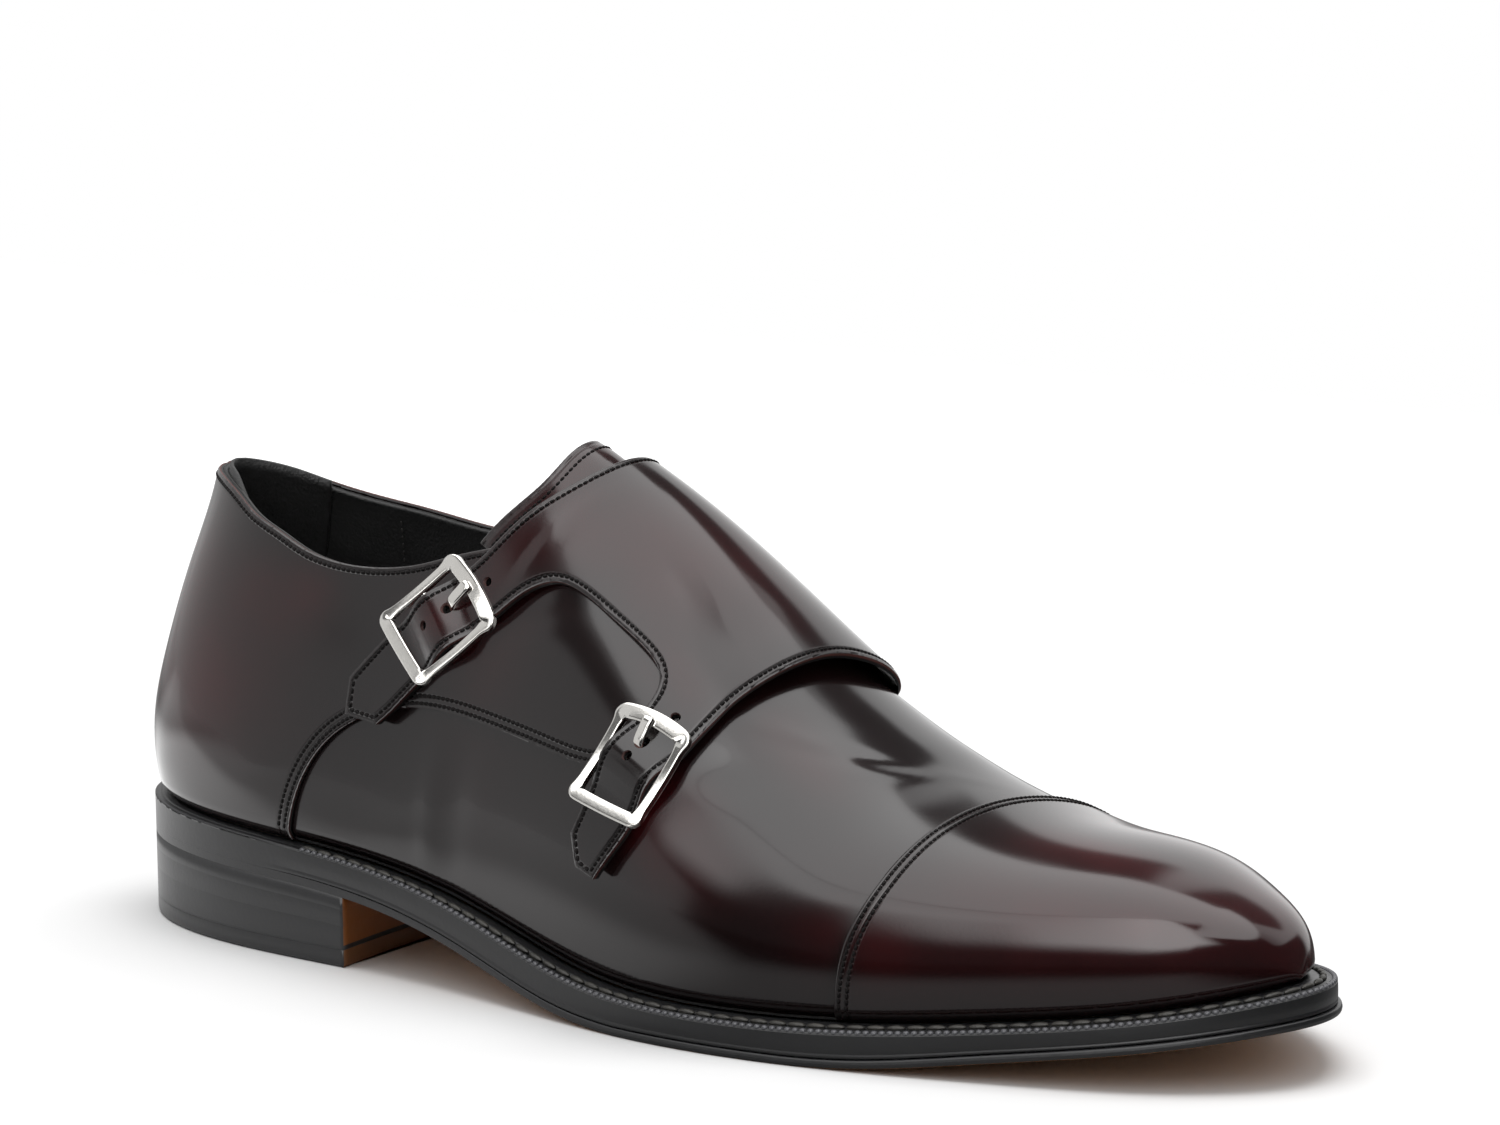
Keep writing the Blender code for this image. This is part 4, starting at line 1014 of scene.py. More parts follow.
def make_finishes(settings):
    """Every leather, thread, dressing and metal of the shoe, by name."""
    groups = {"grain": make_grain_group(), "seam": make_seam_group()}
    FINISH["calf"] = calf("Burnished burgundy calf", groups, settings)
    FINISH["cut edge"] = layered_edge("Dressed cut edge", groups)
    FINISH["lining"] = plain("Black lining leather", groups, (0.009, 0.009, 0.009, 1.0), 0.50, 0.5,
                             light=(0.016, 0.016, 0.016, 1.0))
    FINISH["thread"] = plain("Waxed thread", groups, (0.0030, 0.0025, 0.0025, 1.0), 0.6,
                             light=(0.006, 0.0045, 0.0045, 1.0), shine=0.16)
    FINISH["grey thread"] = plain("Grey thread", groups, (0.040, 0.038, 0.036, 1.0), 0.6,
                                  light=(0.060, 0.057, 0.053, 1.0), shine=0.3)
    FINISH["edge dressing"] = plain("Black edge dressing", groups, (0.012, 0.012, 0.013, 1.0), 0.34, 0.08,
                                    light=(0.016, 0.016, 0.017, 1.0), pores=900.0)
    FINISH["sole leather"] = plain("Oak tanned sole leather", groups, (0.27, 0.12, 0.035, 1.0), 0.42, 0.4,
                                   light=(0.38, 0.18, 0.06, 1.0), pores=700.0)
    FINISH["welt thread"] = plain("Dark welt thread", groups, (0.018, 0.017, 0.014, 1.0), 0.45,
                                  light=(0.045, 0.042, 0.036, 1.0))
    # painted highlight: the wheel marks are a lighter grey than the black dressing, standing for the light
    # line they catch along the welt
    FINISH["wheeled edge"] = plain("Waxed wheel marks with painted highlight", groups, (0.08, 0.08, 0.088, 1.0), 0.26, 0.05,
                                   light=(0.12, 0.12, 0.13, 1.0), pores=900.0)
    FINISH["heel breast"] = plain("Tan heel breast", groups, (0.17, 0.050, 0.005, 1.0), 0.55, 0.15,
                                  light=(0.25, 0.080, 0.008, 1.0), pores=800.0)
    FINISH["heel tip front"] = plain("Brown heel tip front", groups, (0.11, 0.040, 0.009, 1.0), 0.55, 0.15,
                                     light=(0.16, 0.060, 0.014, 1.0), pores=1000.0)
    FINISH["nickel"] = plain("Polished nickel", groups, (0.88, 0.86, 0.82, 1.0), 0.09, 0.05,
                             light=(0.82, 0.80, 0.76, 1.0), metallic=1.0, distance=0.0001)
    # painted shade: a dark copy of the nickel for the faces of a frame that turn toward the leather
    FINISH["dull nickel"] = plain("Nickel painted dark beneath", groups, (0.035, 0.034, 0.032, 1.0), 0.40, 0.2,
                                  light=(0.06, 0.058, 0.054, 1.0), distance=0.0001, shine=0.3)


# ------------------------------------------------------------------ stitching
def offset_row(run, side, height, inset, sign):
    """Points and directions of a row set in from a flat run, on the leather."""
    fine = resample(np.asarray(run, float), 0.3)
    x, t = from_flat(fine, side)
    base = lay(x, t, height(x, t))
    n = outward(x, t)
    along = np.gradient(base, axis=0)
    along /= np.linalg.norm(along, axis=1, keepdims=True)
    inward = np.cross(n, along) * sign
    e = 0.25
    jac = []
    for d in ((e, 0.0), (0.0, e)):
        xa, ta = from_flat(fine + d, side)
        xb, tb = from_flat(fine - d, side)
        jac.append((surface(xa, ta) - surface(xb, tb)) / (2.0 * e))
    jac = np.stack(jac, -1)
    move = np.einsum("nij,nj->ni", np.linalg.pinv(jac), inward * inset)
    x, t = from_flat(fine + move, side)
    t = np.clip(t, -1.0, 1.0)
    row = lay(x, t, height(x, t))
    tree = search_tree(base)
    keep = np.array([tree.find(p)[2] > inset * 0.95 for p in row])
    return row[keep], facing(x[keep], t[keep], height)


def stitches_on(row, up, pitch, sink=0.02):
    """Matrices of stitches at even pitch along a row."""
    s = steps(row)
    count = max(1, int(s[-1] / pitch))
    at = (np.arange(count) + 0.5) * s[-1] / count

    def read(values, places):
        return np.column_stack([np.interp(places, s, values[:, k]) for k in range(3)])

    out = []
    for p, z, d in zip(read(row, at), read(up, at), read(row, at + 0.2) - read(row, at - 0.2)):
        d = Vector(d).normalized()
        z = (Vector(z) - d * d.dot(Vector(z))).normalized()
        turn = Matrix((d, z.cross(d), z)).transposed().to_4x4()
        out.append(Matrix.Translation(Vector(p) - z * sink) @ turn)
    return out


def merge_meshes(parts):
    """One bmesh from several, which are freed."""
    whole = bmesh.new()
    for part in parts:
        mesh = bpy.data.meshes.new("part")
        part.to_mesh(mesh)
        part.free()
        whole.from_mesh(mesh)
        bpy.data.meshes.remove(mesh)
    return whole


def sew(name, places, size, finish, segments=6, rings=4):
    """One small rounded stitch at each place, as one piece."""
    shape = Matrix.Diagonal((*size, 1.0)) @ Matrix.Rotation(math.pi / 2.0, 4, "Y")
    parts = []
    for start in range(0, len(places), 150):        # a bmesh slows down as it grows
        part = bmesh.new()
        for place in places[start:start + 150]:
            bmesh.ops.create_uvsphere(part, u_segments=segments, v_segments=rings, radius=0.5,
                                      matrix=place @ shape)
        parts.append(part)
    settle(name, merge_meshes(parts), [finish])


# ------------------------------------------------------------ leather pieces
def mirrored(points):
    """The same (x, t) points on the other side of the foot."""
    return tuple((x, -t) for x, t in points)


def strap_edge(bk, start, end, w):
    """Straight edge of a strap along its buckle's direction, w to the side."""
    return [bk.flat(a, w) for a in np.arange(start, end, 7.0 if end > start else -7.0)] + [bk.flat(end, w)]


def quarter_runs():
    """Outline of the lateral quarter, counter-clockwise, and the runs that are sewn."""
    edge = flat_run(mirrored(QUARTER_EDGE + QUARTER_FRONT), -1)
    throat = [p for p in TOP_LATERAL if p[0] < VAMP_X - 2.0][::-1]
    top = flat_run(throat, -1)
    end = flat_run((mirrored(QUARTER_FRONT)[-1], throat[0]), -1)
    foot = flat_run(((0.0, -1.0), (QUARTER_EDGE[0][0], -1.0)), -1)
    back = flat_run((TOP_LATERAL[0], (0.0, -1.0)), -1)
    return joined([foot, edge, end, top, back]), edge, top


def flap_runs():
    """Outline of the medial quarter with the flap and its straps, and the runs that are sewn."""
    up, low = SITES
    tip_up, tip_low = STRAP_POINTS["upper"], STRAP_POINTS["lower"]
    upper = [p for p in TOP_MEDIAL if p[0] < 97.0] + list(FLAP_TOP) + strap_edge(up, 15.0, -14.0, STRAP_LEFT)
    mid = strap_edge(up, -10.0, 9.0, -STRAP_RIGHT) + list(WINDOW) + strap_edge(low, 8.0, -13.0, STRAP_LEFT)
    front = strap_edge(low, -11.0, 5.0, -STRAP_RIGHT) + [low.flat(11.0, -7.7)] + list(FLAP_FRONT[:-1])
    corners = [tip[k:k + 2] for tip in (tip_up, tip_low) for k in range(3)]
    last = FLAP_FRONT[-1][0], QUARTER_EDGE[-1][1]
    runs = [flat_run(r, 1) for r in
            ([*upper, tip_up[0]], *corners[:3], [tip_up[3], *mid, tip_low[0]], *corners[3:],
             [tip_low[3], *front, last], QUARTER_EDGE[::-1])]
    foot = flat_run((QUARTER_EDGE[0], (0.0, 1.0)), 1)
    back = flat_run(((0.0, 1.0), TOP_MEDIAL[0]), 1)
    return joined(runs + [foot, back]), runs[:-1], runs[-1]


# corners of the strap ends, from the upper shoulder round to the lower one, as x and t
STRAP_POINTS = {
    "upper": ((76.7, -0.688), (76.2, -0.752), (85.2, -0.757), (89.2, -0.730)),
    "lower": ((145.4, -0.800), (147.2, -0.846), (152.4, -0.852), (156.4, -0.806)),
}
# holes along each strap: one free, one past the frame
STRAP_HOLES = {"upper": (-2.1, 15.4), "lower": (0.9, 13.4)}
PRONG_HOLE = 4.6


def strap_holes():
    """Holes in both straps: flat place, radii, and the turn from true millimetres to flat."""
    xs, s = RUN[1]
    out = []
    for bk in SITES:
        rate = float(np.interp(bk.x + 1.0, xs, s) - np.interp(bk.x - 1.0, xs, s)) / 2.0
        turn = np.diag((rate, T_MM)) @ bk.solve
        for a in (*STRAP_HOLES[bk.name], PRONG_HOLE):
            long, wide = (1.5, 1.3) if a == PRONG_HOLE else (1.05, 1.05)
            x, t = bk.flat(a, -0.8)
            spot = to_flat(np.array([x]), np.array([t]), 1)[0]
            out.append((spot, turn @ np.diag((long, wide))))
    return out


def cut_throat(bm, spans):
    """Open a laid-out vamp or lining behind the vamp point, where its sides don't meet."""
    gap = [f for f in bm.faces if f.calc_center_median().x < VAMP_X - X_BACK - 0.4
           and spans([v.co.y for v in f.verts])]
    bmesh.ops.delete(bm, geom=gap, context="FACES")
    bmesh.ops.delete(bm, geom=[v for v in bm.verts if not v.link_faces], context="VERTS")


def two_sided_net(xs, share, lateral_end, medial_end):
    """Flat net up both sides of the foot from the feather line to ends that meet past the vamp point."""
    rows = len(share)

    def place(i, j):
        lateral = j < rows
        side = np.where(lateral, -1.0, 1.0)
        end = np.where(lateral, lateral_end[i], medial_end[i])
        t = side + (end - side) * share[np.where(lateral, j, 2 * rows - 2 - j)]
        return np.column_stack([xs[i] - X_BACK, t * T_MM, 0.0 * t])

    return net(len(xs), 2 * rows - 1, place)


def make_vamp():
    """Vamp from under the quarter to the toe, its throat open."""
    fore = x_of(np.linspace(float(angle_of(VAMP_X)), math.pi, 120))
    back = x_of(np.linspace(float(angle_of(44.0)), float(angle_of(VAMP_X)), 66))[:-1]
    xs = np.concatenate([back, fore])
    # closer rows where the leather turns under
    share = np.concatenate([[0.0, 0.006, 0.014, 0.024, 0.036], 0.05 + 0.95 * np.linspace(0.0, 1.0, 71)])
    ends = [np.where(xs < VAMP_X, edge_at(top, xs) + side * 0.02, 0.0)
            for side, top in ((-1, TOP_LATERAL), (1, TOP_MEDIAL))]
    bm = two_sided_net(xs, share, *ends)
    cut_throat(bm, lambda ys: max(ys) - min(ys) > 12.0)
    flip_up(bm)
    # painted shade along the edges of the cap and the quarters that lie over the vamp
    painted_shade_edges = [flat_run(CAP_EDGE, 0, 0.5)]
    painted_shade_edges += [flat_run([(x, s * t) for x, t in QUARTER_EDGE[:9]], 0, 0.5) for s in (-1, 1)]
    drape("vamp", bm, 0, vamp_out, vamp_in, leather(), [], (), (), blush, ("upper",),
          shade=painted_shade_edges)


def flip_up(bm):
    """Turn a flat sheet's faces upward."""
    bmesh.ops.recalc_face_normals(bm, faces=bm.faces)
    bm.normal_update()
    if sum(f.normal.z * f.calc_area() for f in bm.faces) < 0.0:
        bmesh.ops.reverse_faces(bm, faces=bm.faces)


def leather():
    return [FINISH["calf"], FINISH["cut edge"]]


def lining_height(x, t, inner):
    """Depth of the lining: it comes up to the leather's edge at the collar."""
    top = np.where(t < 0.0, edge_at(TOP_LATERAL, x), edge_at(TOP_MEDIAL, x))
    deep = np.where(x < VAMP_X, np.abs(t) - np.abs(top), 0.3)
    hollow = np.minimum(fullness(x, t), 0.0)
    if inner:
        return -1.6 - 1.15 * smooth_step(deep, 0.0, 0.14) + hollow
    return -0.42 - 1.60 * smooth_step(deep, 0.01, 0.06) + hollow


def make_lining():
    """Black lining of the whole upper, with the piece at the heel."""
    xs = np.concatenate([x_of(np.linspace(0.0, float(angle_of(VAMP_X)), 72))[:-1],
                         x_of(np.linspace(float(angle_of(VAMP_X)), math.pi, 30))])
    share = 1.0 - np.linspace(1.0, 0.0, 30) ** 1.6
    ends = [np.where(xs >= VAMP_X - 0.01, 0.0, edge_at(top, xs)) for top in (TOP_LATERAL, TOP_MEDIAL)]
    bm = two_sided_net(xs, share, *ends)
    cut_throat(bm, lambda ys: max(ys) > 0.0 > min(ys) and 0.0 not in ys)
    flip_up(bm)
    drape("lining", bm, 0, lambda x, t: lining_height(x, t, False), lambda x, t: lining_height(x, t, True),
          [FINISH["lining"]] * 2, [])
    make_heel_grip()


# lining piece inside the heel: its columns, from its lateral end, and its rows
GRIP_PITCH = 0.9
GRIP_START = -27.0
GRIP_COLUMNS = 53
GRIP_ROWS = 22


def make_heel_grip():
    """Lining piece inside the heel, its top a little above the collar."""
    us = GRIP_PITCH * np.arange(GRIP_COLUMNS) + GRIP_START

    def place(i, j):
        return np.column_stack([us[i], j * 1.0, 0.0 * us[i]])

    bm = net(GRIP_COLUMNS, GRIP_ROWS, place)
    add_layer(bm)
    for v in bm.verts:
        u = us[int(round((v.co.x - GRIP_START) / GRIP_PITCH))]
        x = np.array([abs(u) + X_BACK])
        top = np.where(u < 0.0, edge_at(TOP_LATERAL, x), -edge_at(TOP_MEDIAL, x))
        proud = 0.019 * smooth_step(u, -24.0, -8.0) - 0.006
        t = np.abs(top) - proud + (0.86 - np.abs(top)) * (v.co.y / (GRIP_ROWS - 1.0))
        t = np.where(u < 0.0, -t, t)
        rise = lining_height(x, np.sign(t) * np.maximum(np.abs(t), 0.42), True)
        v.co = lay(x, t, rise - (0.75 if v.co.z > 0.5 else 0.02))[0]
    bmesh.ops.recalc_face_normals(bm, faces=bm.faces)
    settle("heel_grip", bm, [FINISH["lining"]])


def make_sock():
    """Black sock over the insole, a little dished."""
    inner = np.array([PLAN[k] - NORMALS[k] * 3.1 for k in range(0, len(PLAN), 6)])
    bm = bmesh.new()
    bm.faces.new([bm.verts.new((p[0], p[1], 0.0)) for p in inner])
    slice_up(bm, 0, np.arange(4.0, 292.0, 5.0))
    slice_up(bm, 1, np.arange(-44.0, 48.0, 5.0))
    split_wide_faces(bm)
    add_layer(bm)
    for v in bm.verts:
        sides = [float(plan_y(side, v.co.x)) for side in (SIDE_MEDIAL, SIDE_LATERAL)]
        half, mid = (sides[0] - sides[1]) / 2.0, (sides[0] + sides[1]) / 2.0
        dish = 1.1 * max(0.0, 1.0 - ((v.co.y - mid) / max(half, 4.0)) ** 2)
        base = float(column(FEATHER, v.co.x)) + INSOLE_TOP
        v.co.z = base + (1.6 - dish if v.co.z > 0.5 else -1.0)
    bmesh.ops.recalc_face_normals(bm, faces=bm.faces)
    settle("sock", bm, [FINISH["lining"]], nodes=("insole",))


def make_quarters():
    """Lateral quarter, and the medial quarter with the flap and its straps."""
    outline, edge, top = quarter_runs()
    bm = sheet(outline, 1.5)
    drape("quarter_lateral", bm, -1, quarter_out, quarter_in, leather(), outline, [top], [edge], blush,
          ("quarter",))
    outline, runs, seam = flap_runs()
    bm = sheet(outline, 1.5, strap_holes())
    drape("quarter_medial", bm, 1, flap_out, flap_in, leather(), outline, runs, [seam], flap_blush,
          ("monk_flap",))


def make_cap():
    """Cap over the front of the vamp, its edge raw and doubly sewn."""
    ts = np.linspace(-1.0, 1.0, 135)
    ts = np.sign(ts) * (1.0 - (1.0 - np.abs(ts)) ** 1.12)
    edge = smooth_curve([(t, x) for x, t in CAP_EDGE], 300)
    start = np.interp(ts, edge[:, 0], edge[:, 1])
    inset = np.array([0.0, 0.12, 0.33, 0.7, 1.2, 1.8, 2.6])
    ahead = np.linspace(0.0, 1.0, 66)[1:]
    near = len(inset)

    def place(i, j):
        first = start[j] + inset[np.minimum(i, near - 1)]
        low = angle_of(start[j] + inset[-1])
        rest = x_of(low + (math.pi - low) * ahead[np.clip(i - near, 0, len(ahead) - 1)])
        x = np.where(i < near, first, rest)
        return np.column_stack([x - X_BACK, ts[j] * T_MM, 0.0 * x])

    bm = net(near + len(ahead), len(ts), place)
    flip_up(bm)
    run = flat_run(CAP_EDGE, 0, 0.5)
    drape("cap_leather", bm, 0, cap_out, cap_in, leather(), list(run), (), [run], blush, ("toe_cap",))


# outline of the tongue: its top edge, then its right side, its end under the vamp and its left side
TONGUE_TOP = (
    (101.0, -0.405), (105.0, -0.345), (112.3, -0.240), (115.8, -0.120), (116.4, 0.010), (115.0, 0.120),
    (113.0, 0.210), (110.0, 0.290), (106.5, 0.355),
)
TONGUE_RIGHT = (TONGUE_TOP[-1], (120.0, 0.420), (140.0, 0.420), (160.0, 0.380), (172.0, 0.320))
TONGUE_END = (TONGUE_RIGHT[-1], (178.0, 0.180), (180.0, 0.0), (178.0, -0.180), (172.0, -0.320))
TONGUE_LEFT = (TONGUE_END[-1], (160.0, -0.380), (140.0, -0.430), (120.0, -0.450), TONGUE_TOP[0])


def tongue_runs():
    """Outline of the tongue and its sewn top edge."""
    runs = [flat_run(points, 0) for points in (TONGUE_TOP, TONGUE_RIGHT, TONGUE_END, TONGUE_LEFT)]
    return joined(runs), runs[0]


def make_tongue():
    """Tongue under the throat, showing over the flap."""
    outline, top = tongue_runs()
    outline = outline[::-1]
    bm = sheet(outline, 1.8)
    flip_up(bm)
    drape("tongue_leather", bm, 0, tongue_out, tongue_in, leather(), outline, [top], (), blush, ("tongue",))


# ------------------------------------------------------------------- stitches
def sew_leather(settings):
    """Rows of waxed thread on every seam of the upper."""
    pitch = settings.stitch_pitch * 1000.0
    _, edge, top = quarter_runs()
    rows = [(edge, -1, quarter_out, ROW_NEAR, 1), (edge, -1, quarter_out, ROW_FAR, 1),
            (top, -1, quarter_out, ROW_SINGLE, 1)]
    _, runs, seam = flap_runs()
    rows += [(run, 1, flap_out, ROW_SINGLE, 1) for run in runs]
    rows += [(seam, 1, flap_out, ROW_NEAR, 1), (seam, 1, flap_out, ROW_FAR, 1)]
    cap = flat_run(CAP_EDGE, 0)
    rows += [(cap, 0, cap_out, ROW_NEAR, -1), (cap, 0, cap_out, ROW_FAR, -1)]
    _, top = tongue_runs()
    rows += [(top, 0, tongue_out, ROW_TONGUE, -1)]
    edges = spread(runs, 1, flap_out)
    places = []
    for run, side, height, inset, sign in rows:
        row, up = offset_row(run, side, height, inset, sign)
        if side == 1 and inset == ROW_SINGLE:
            far = np.array([edges.find(p)[2] > inset * 0.95 for p in row])
            row, up = row[far], up[far]
        if len(row) > 8:
            places += stitches_on(row, up, pitch)
    sew("leather_stitching", places, (1.30, 0.78, 0.62), FINISH["thread"])
    sew_lining()


def sew_lining():
    """Rows of grey thread down the joins of the lining."""
    places = []
    for side, edge in ((-1, TOP_LATERAL), (1, TOP_MEDIAL)):
        drop = ((42.5, edge_at(edge, 42.5) + side * 0.02), (42.5, side * 0.70))
        x, t = from_flat(flat_run(drop, side, 0.5), side)
        row = lay(x, t, np.full(len(x), -2.55))
        places += stitches_on(row, -outward(x, t), 1.8)
    sew("lining_stitching", places, (1.2, 0.55, 0.4), FINISH["grey thread"])


# ---------------------------------------------------------------- the sole
def plan_normals():
    """Directions out of the plan outline."""
    d = np.roll(PLAN, -1, 0) - np.roll(PLAN, 1, 0)
    n = np.stack([d[:, 1], -d[:, 0]], -1)
    n /= np.linalg.norm(n, axis=1)[:, None]
    return -n if np.sum((PLAN - PLAN.mean(0)) * n) < 0.0 else n


NORMALS = plan_normals()
TRACK_HALF = 230            # points of the track round the shoe, each side
WELT_SEWN_X = 62.0          # the welt is sewn and wheeled ahead of this


def make_track():
    """Plan places and directions round the shoe, the same x on both sides."""
    xs = x_of(np.linspace(0.0, math.pi, TRACK_HALF + 1))
    order = np.arange(len(PLAN))
    sides = []
    for idx in (order[:TIP + 1], np.concatenate([order[TIP:], [0]])[::-1]):
        a = angle_of(PLAN[idx, 0])
        at = angle_of(xs)
        n = np.column_stack([np.interp(at, a, NORMALS[idx, k]) for k in (0, 1)])
        y = np.interp(at, a, PLAN[idx, 1])
        sides.append(np.column_stack([xs, y, n]))
    lateral, medial = sides
    track = np.vstack([lateral, medial[-2:0:-1]])
    track[:, 2:] /= np.linalg.norm(track[:, 2:], axis=1)[:, None]
    return track


TRACK = make_track()


def on_track(i, margin):
    """Plan place beyond the feather line by margin."""
    row = TRACK[i % len(TRACK)]
    return row[:, :2] + row[:, 2:] * np.asarray(margin, float)[:, None]


def tread(x):
    """Underside of the outsole."""
    return np.maximum(column(TREAD, x), 0.0)


def welt_top(x):
    return column(FEATHER, x) - 0.3


def welt_bottom(x):
    return tread(x) + OUTSOLE


def welt_margin(x):
    return column(WELT, x, 1)


def pick_row(x, j, rows):
    """Margin and height in row j of a profile written as pairs over x; the number of rows without j."""
    if j is None:
        return len(rows)
    margin = np.stack([np.broadcast_to(r[0], x.shape) for r in rows])
    z = np.stack([np.broadcast_to(r[1], x.shape) for r in rows])
    k = np.arange(len(x))
    return margin[j, k], z[j, k]


QUARTER_TURN = [math.radians(18.0 * k) for k in range(6)]    # steps round a small rounded edge


def welt_profile(x, j=None):
    """Rows of the welt: its sewn top, the ridge at its edge, the band and the seam under it."""
    m = welt_margin(x)
    top, low = welt_top(x), welt_bottom(x)
    fall = column(WELT, x, 2)
    fore = smooth_step(x, 50.0, 70.0)
    thick = top - fall - low

    def z_at(k):
        return top - fall * np.clip(k / m, 0.0, 1.0) ** 2

    seam = m * 0.46
    rows = [(-1.6 + 0.0 * x, low), (-1.6 + 0.0 * x, top)]
    rows += [(m * share, z_at(m * share)) for share in (0.0, 0.12)]
    for off, dz in ((-0.95, 0.0), (-0.62, -0.6), (0.0, -1.0), (0.62, -0.6), (0.95, 0.0)):
        rows.append((seam + off * fore, z_at(seam + off) + dz * 0.38 * fore))
    for off, dz in ((1.75, -0.8), (1.45, -0.8), (1.20, 0.0), (0.80, 0.0), (0.40, 0.0)):
        rows.append((m - off, z_at(m - off) + dz * 0.40 * fore))
    for g in QUARTER_TURN[1:]:
        rows.append((m - 0.35 + 0.35 * math.sin(g), top - fall - 0.35 * (1.0 - math.cos(g))))
    for share, dm in ((0.03, 0.0), (0.10, 0.04), (0.40, 0.10), (0.72, 0.10), (0.78, -0.04), (0.82, -0.06),
                      (0.86, 0.08), (0.94, 0.10)):
        rows.append((m + dm * fore, top - fall - thick * share))
    rows += [(m - 0.05 * fore, low + 0.08), (m - 0.5 * fore, low), (-1.6 + 0.0 * x, low)]
    return pick_row(x, j, rows)


def sole_profile(x, j=None):
    """Rows of the outsole: under the welt, its edge, and the closed channel of its seam below."""
    m = welt_margin(x) + LIP * np.clip((x - 90.0) / 190.0, 0.0, 1.0)
    top, low = welt_bottom(x) - 0.12 * smooth_step(x, 60.0, 90.0), tread(x)
    thick = top - low
    soft = 0.04 + 0.41 * smooth_step(x, 60.0, 150.0)
    rows = [(-2.0 + 0.0 * x, top), (m - 1.1, top)]
    for g in QUARTER_TURN:
        rows.append((m - soft * (1.0 - math.sin(g)), top - soft * (1.0 - math.cos(g))))
    ease = smooth_step(x, 60.0, 150.0)
    for share, dm in ((0.05, 0.0), (0.35, 0.08), (0.5, 0.10), (0.65, 0.08), (0.95, 0.0)):
        share = share + (0.5 - share) * 0.45 * ease
        rows.append((m + dm * ease, top - thick * share))
    for g in QUARTER_TURN:
        rows.append((m - soft * (1.0 - math.cos(g)), low + soft * (1.0 - math.sin(g))))
    for off, dz in ((1.4, 0.0), (3.4, 0.0), (3.8, 0.16), (4.2, 0.22), (4.6, 0.16), (5.0, 0.0), (8.0, 0.0)):
        rows.append((m - off, low + dz))
    return pick_row(x, j, rows)


def make_outsole():
    """Leather outsole: black edge, tan below, closed along its middle line."""
    rim = sole_profile(np.array([0.0]))
    extra = 10
    count = len(TRACK)

    def place(i, j):
        base = TRACK[i % count, 0]
        inner = np.minimum(j, rim - 1)
        margin, z = sole_profile(base, inner)
        p = on_track(i, margin)
        share = np.clip((j - rim + 1) / extra, 0.0, 1.0)[:, None]
        spine_x = np.clip(base, 9.0, X_TIP - 9.0)
        middle = (plan_y(SIDE_LATERAL, spine_x) + plan_y(SIDE_MEDIAL, spine_x)) / 2.0
        spine = np.column_stack([spine_x, middle])
        p = p + (spine - p) * share
        z = np.where(j >= rim, tread(p[:, 0]), z)
        return np.column_stack([p, z])

    bm = net(count + 1, rim + extra, place, close_u=True, weld=0.003)
    for f in bm.faces:
        f.material_index = 1 if f.normal.z < -0.8 else 0
    settle("outsole_leather", bm, [FINISH["edge dressing"], FINISH["sole leather"]], ("outsole",))


def make_welt():
    """Welt round the forepart, running on round the heel."""
    count = len(TRACK)

    def place(i, j):
        margin, z = welt_profile(TRACK[i % count, 0], j)
        return np.column_stack([on_track(i, margin), z])

    bm = net(count + 1, welt_profile(np.array([0.0])), place, close_u=True, close_v=True, weld=0.004)
    settle("welt_strip", bm, [FINISH["edge dressing"]], ("welt",))


def sew_row_on_welt(name, margin, height, pitch, size, finish, segments, rings):
    """Row on the welt ahead of the heel, lateral round to medial."""
    x = TRACK[:, 0]
    row = np.column_stack([on_track(np.arange(len(TRACK)), margin(x)), height(x)])[x > WELT_SEWN_X]
    up = np.tile([0.0, 0.0, 1.0], (len(row), 1))
    sew(name, stitches_on(row, up, pitch), size, finish, segments, rings)


def sew_welt(settings):
    """Welt seam and the wheeled marks along the edge."""
    sew_row_on_welt("welt_stitching", lambda x: welt_margin(x) * 0.46,
                    lambda x: welt_top(x) - column(WELT, x, 2) * 0.21 + 0.10,
                    round(settings.welt_pitch * 1000.0, 3), (4.1, 1.5, 1.3), FINISH["welt thread"], 10, 8)
    sew_row_on_welt("welt_wheeling", lambda x: welt_margin(x) - 0.60,
                    lambda x: welt_top(x) - column(WELT, x, 2) * 0.80 - 0.05,
                    round(settings.wheel_pitch * 1000.0, 3), (1.55, 1.35, 1.25), FINISH["wheeled edge"], 8, 5)


def heel_outline():
    """Closed plan of the heel behind the breast: lateral corner, round the back, breast."""
    p = on_track(np.arange(len(TRACK)), welt_margin(TRACK[:, 0]))
    lateral, medial = p[:TRACK_HALF + 1], np.vstack([p[TRACK_HALF:], p[:1]])
    y_lat = np.interp(BREAST_X, lateral[:, 0], lateral[:, 1])
    y_med = np.interp(-BREAST_X, -medial[:, 0], medial[:, 1])
    back_lat = lateral[lateral[:, 0] < BREAST_X - 0.3][::-1]
    back_med = medial[medial[:, 0] < BREAST_X - 0.3][::-1]
    ys = np.linspace(y_med, y_lat, 34)
    bow = 1.6 * (1.0 - np.linspace(-1.0, 1.0, 34) ** 2)
    breast = np.column_stack([BREAST_X - bow, ys])
    return np.vstack([back_lat, back_med[1:], breast])


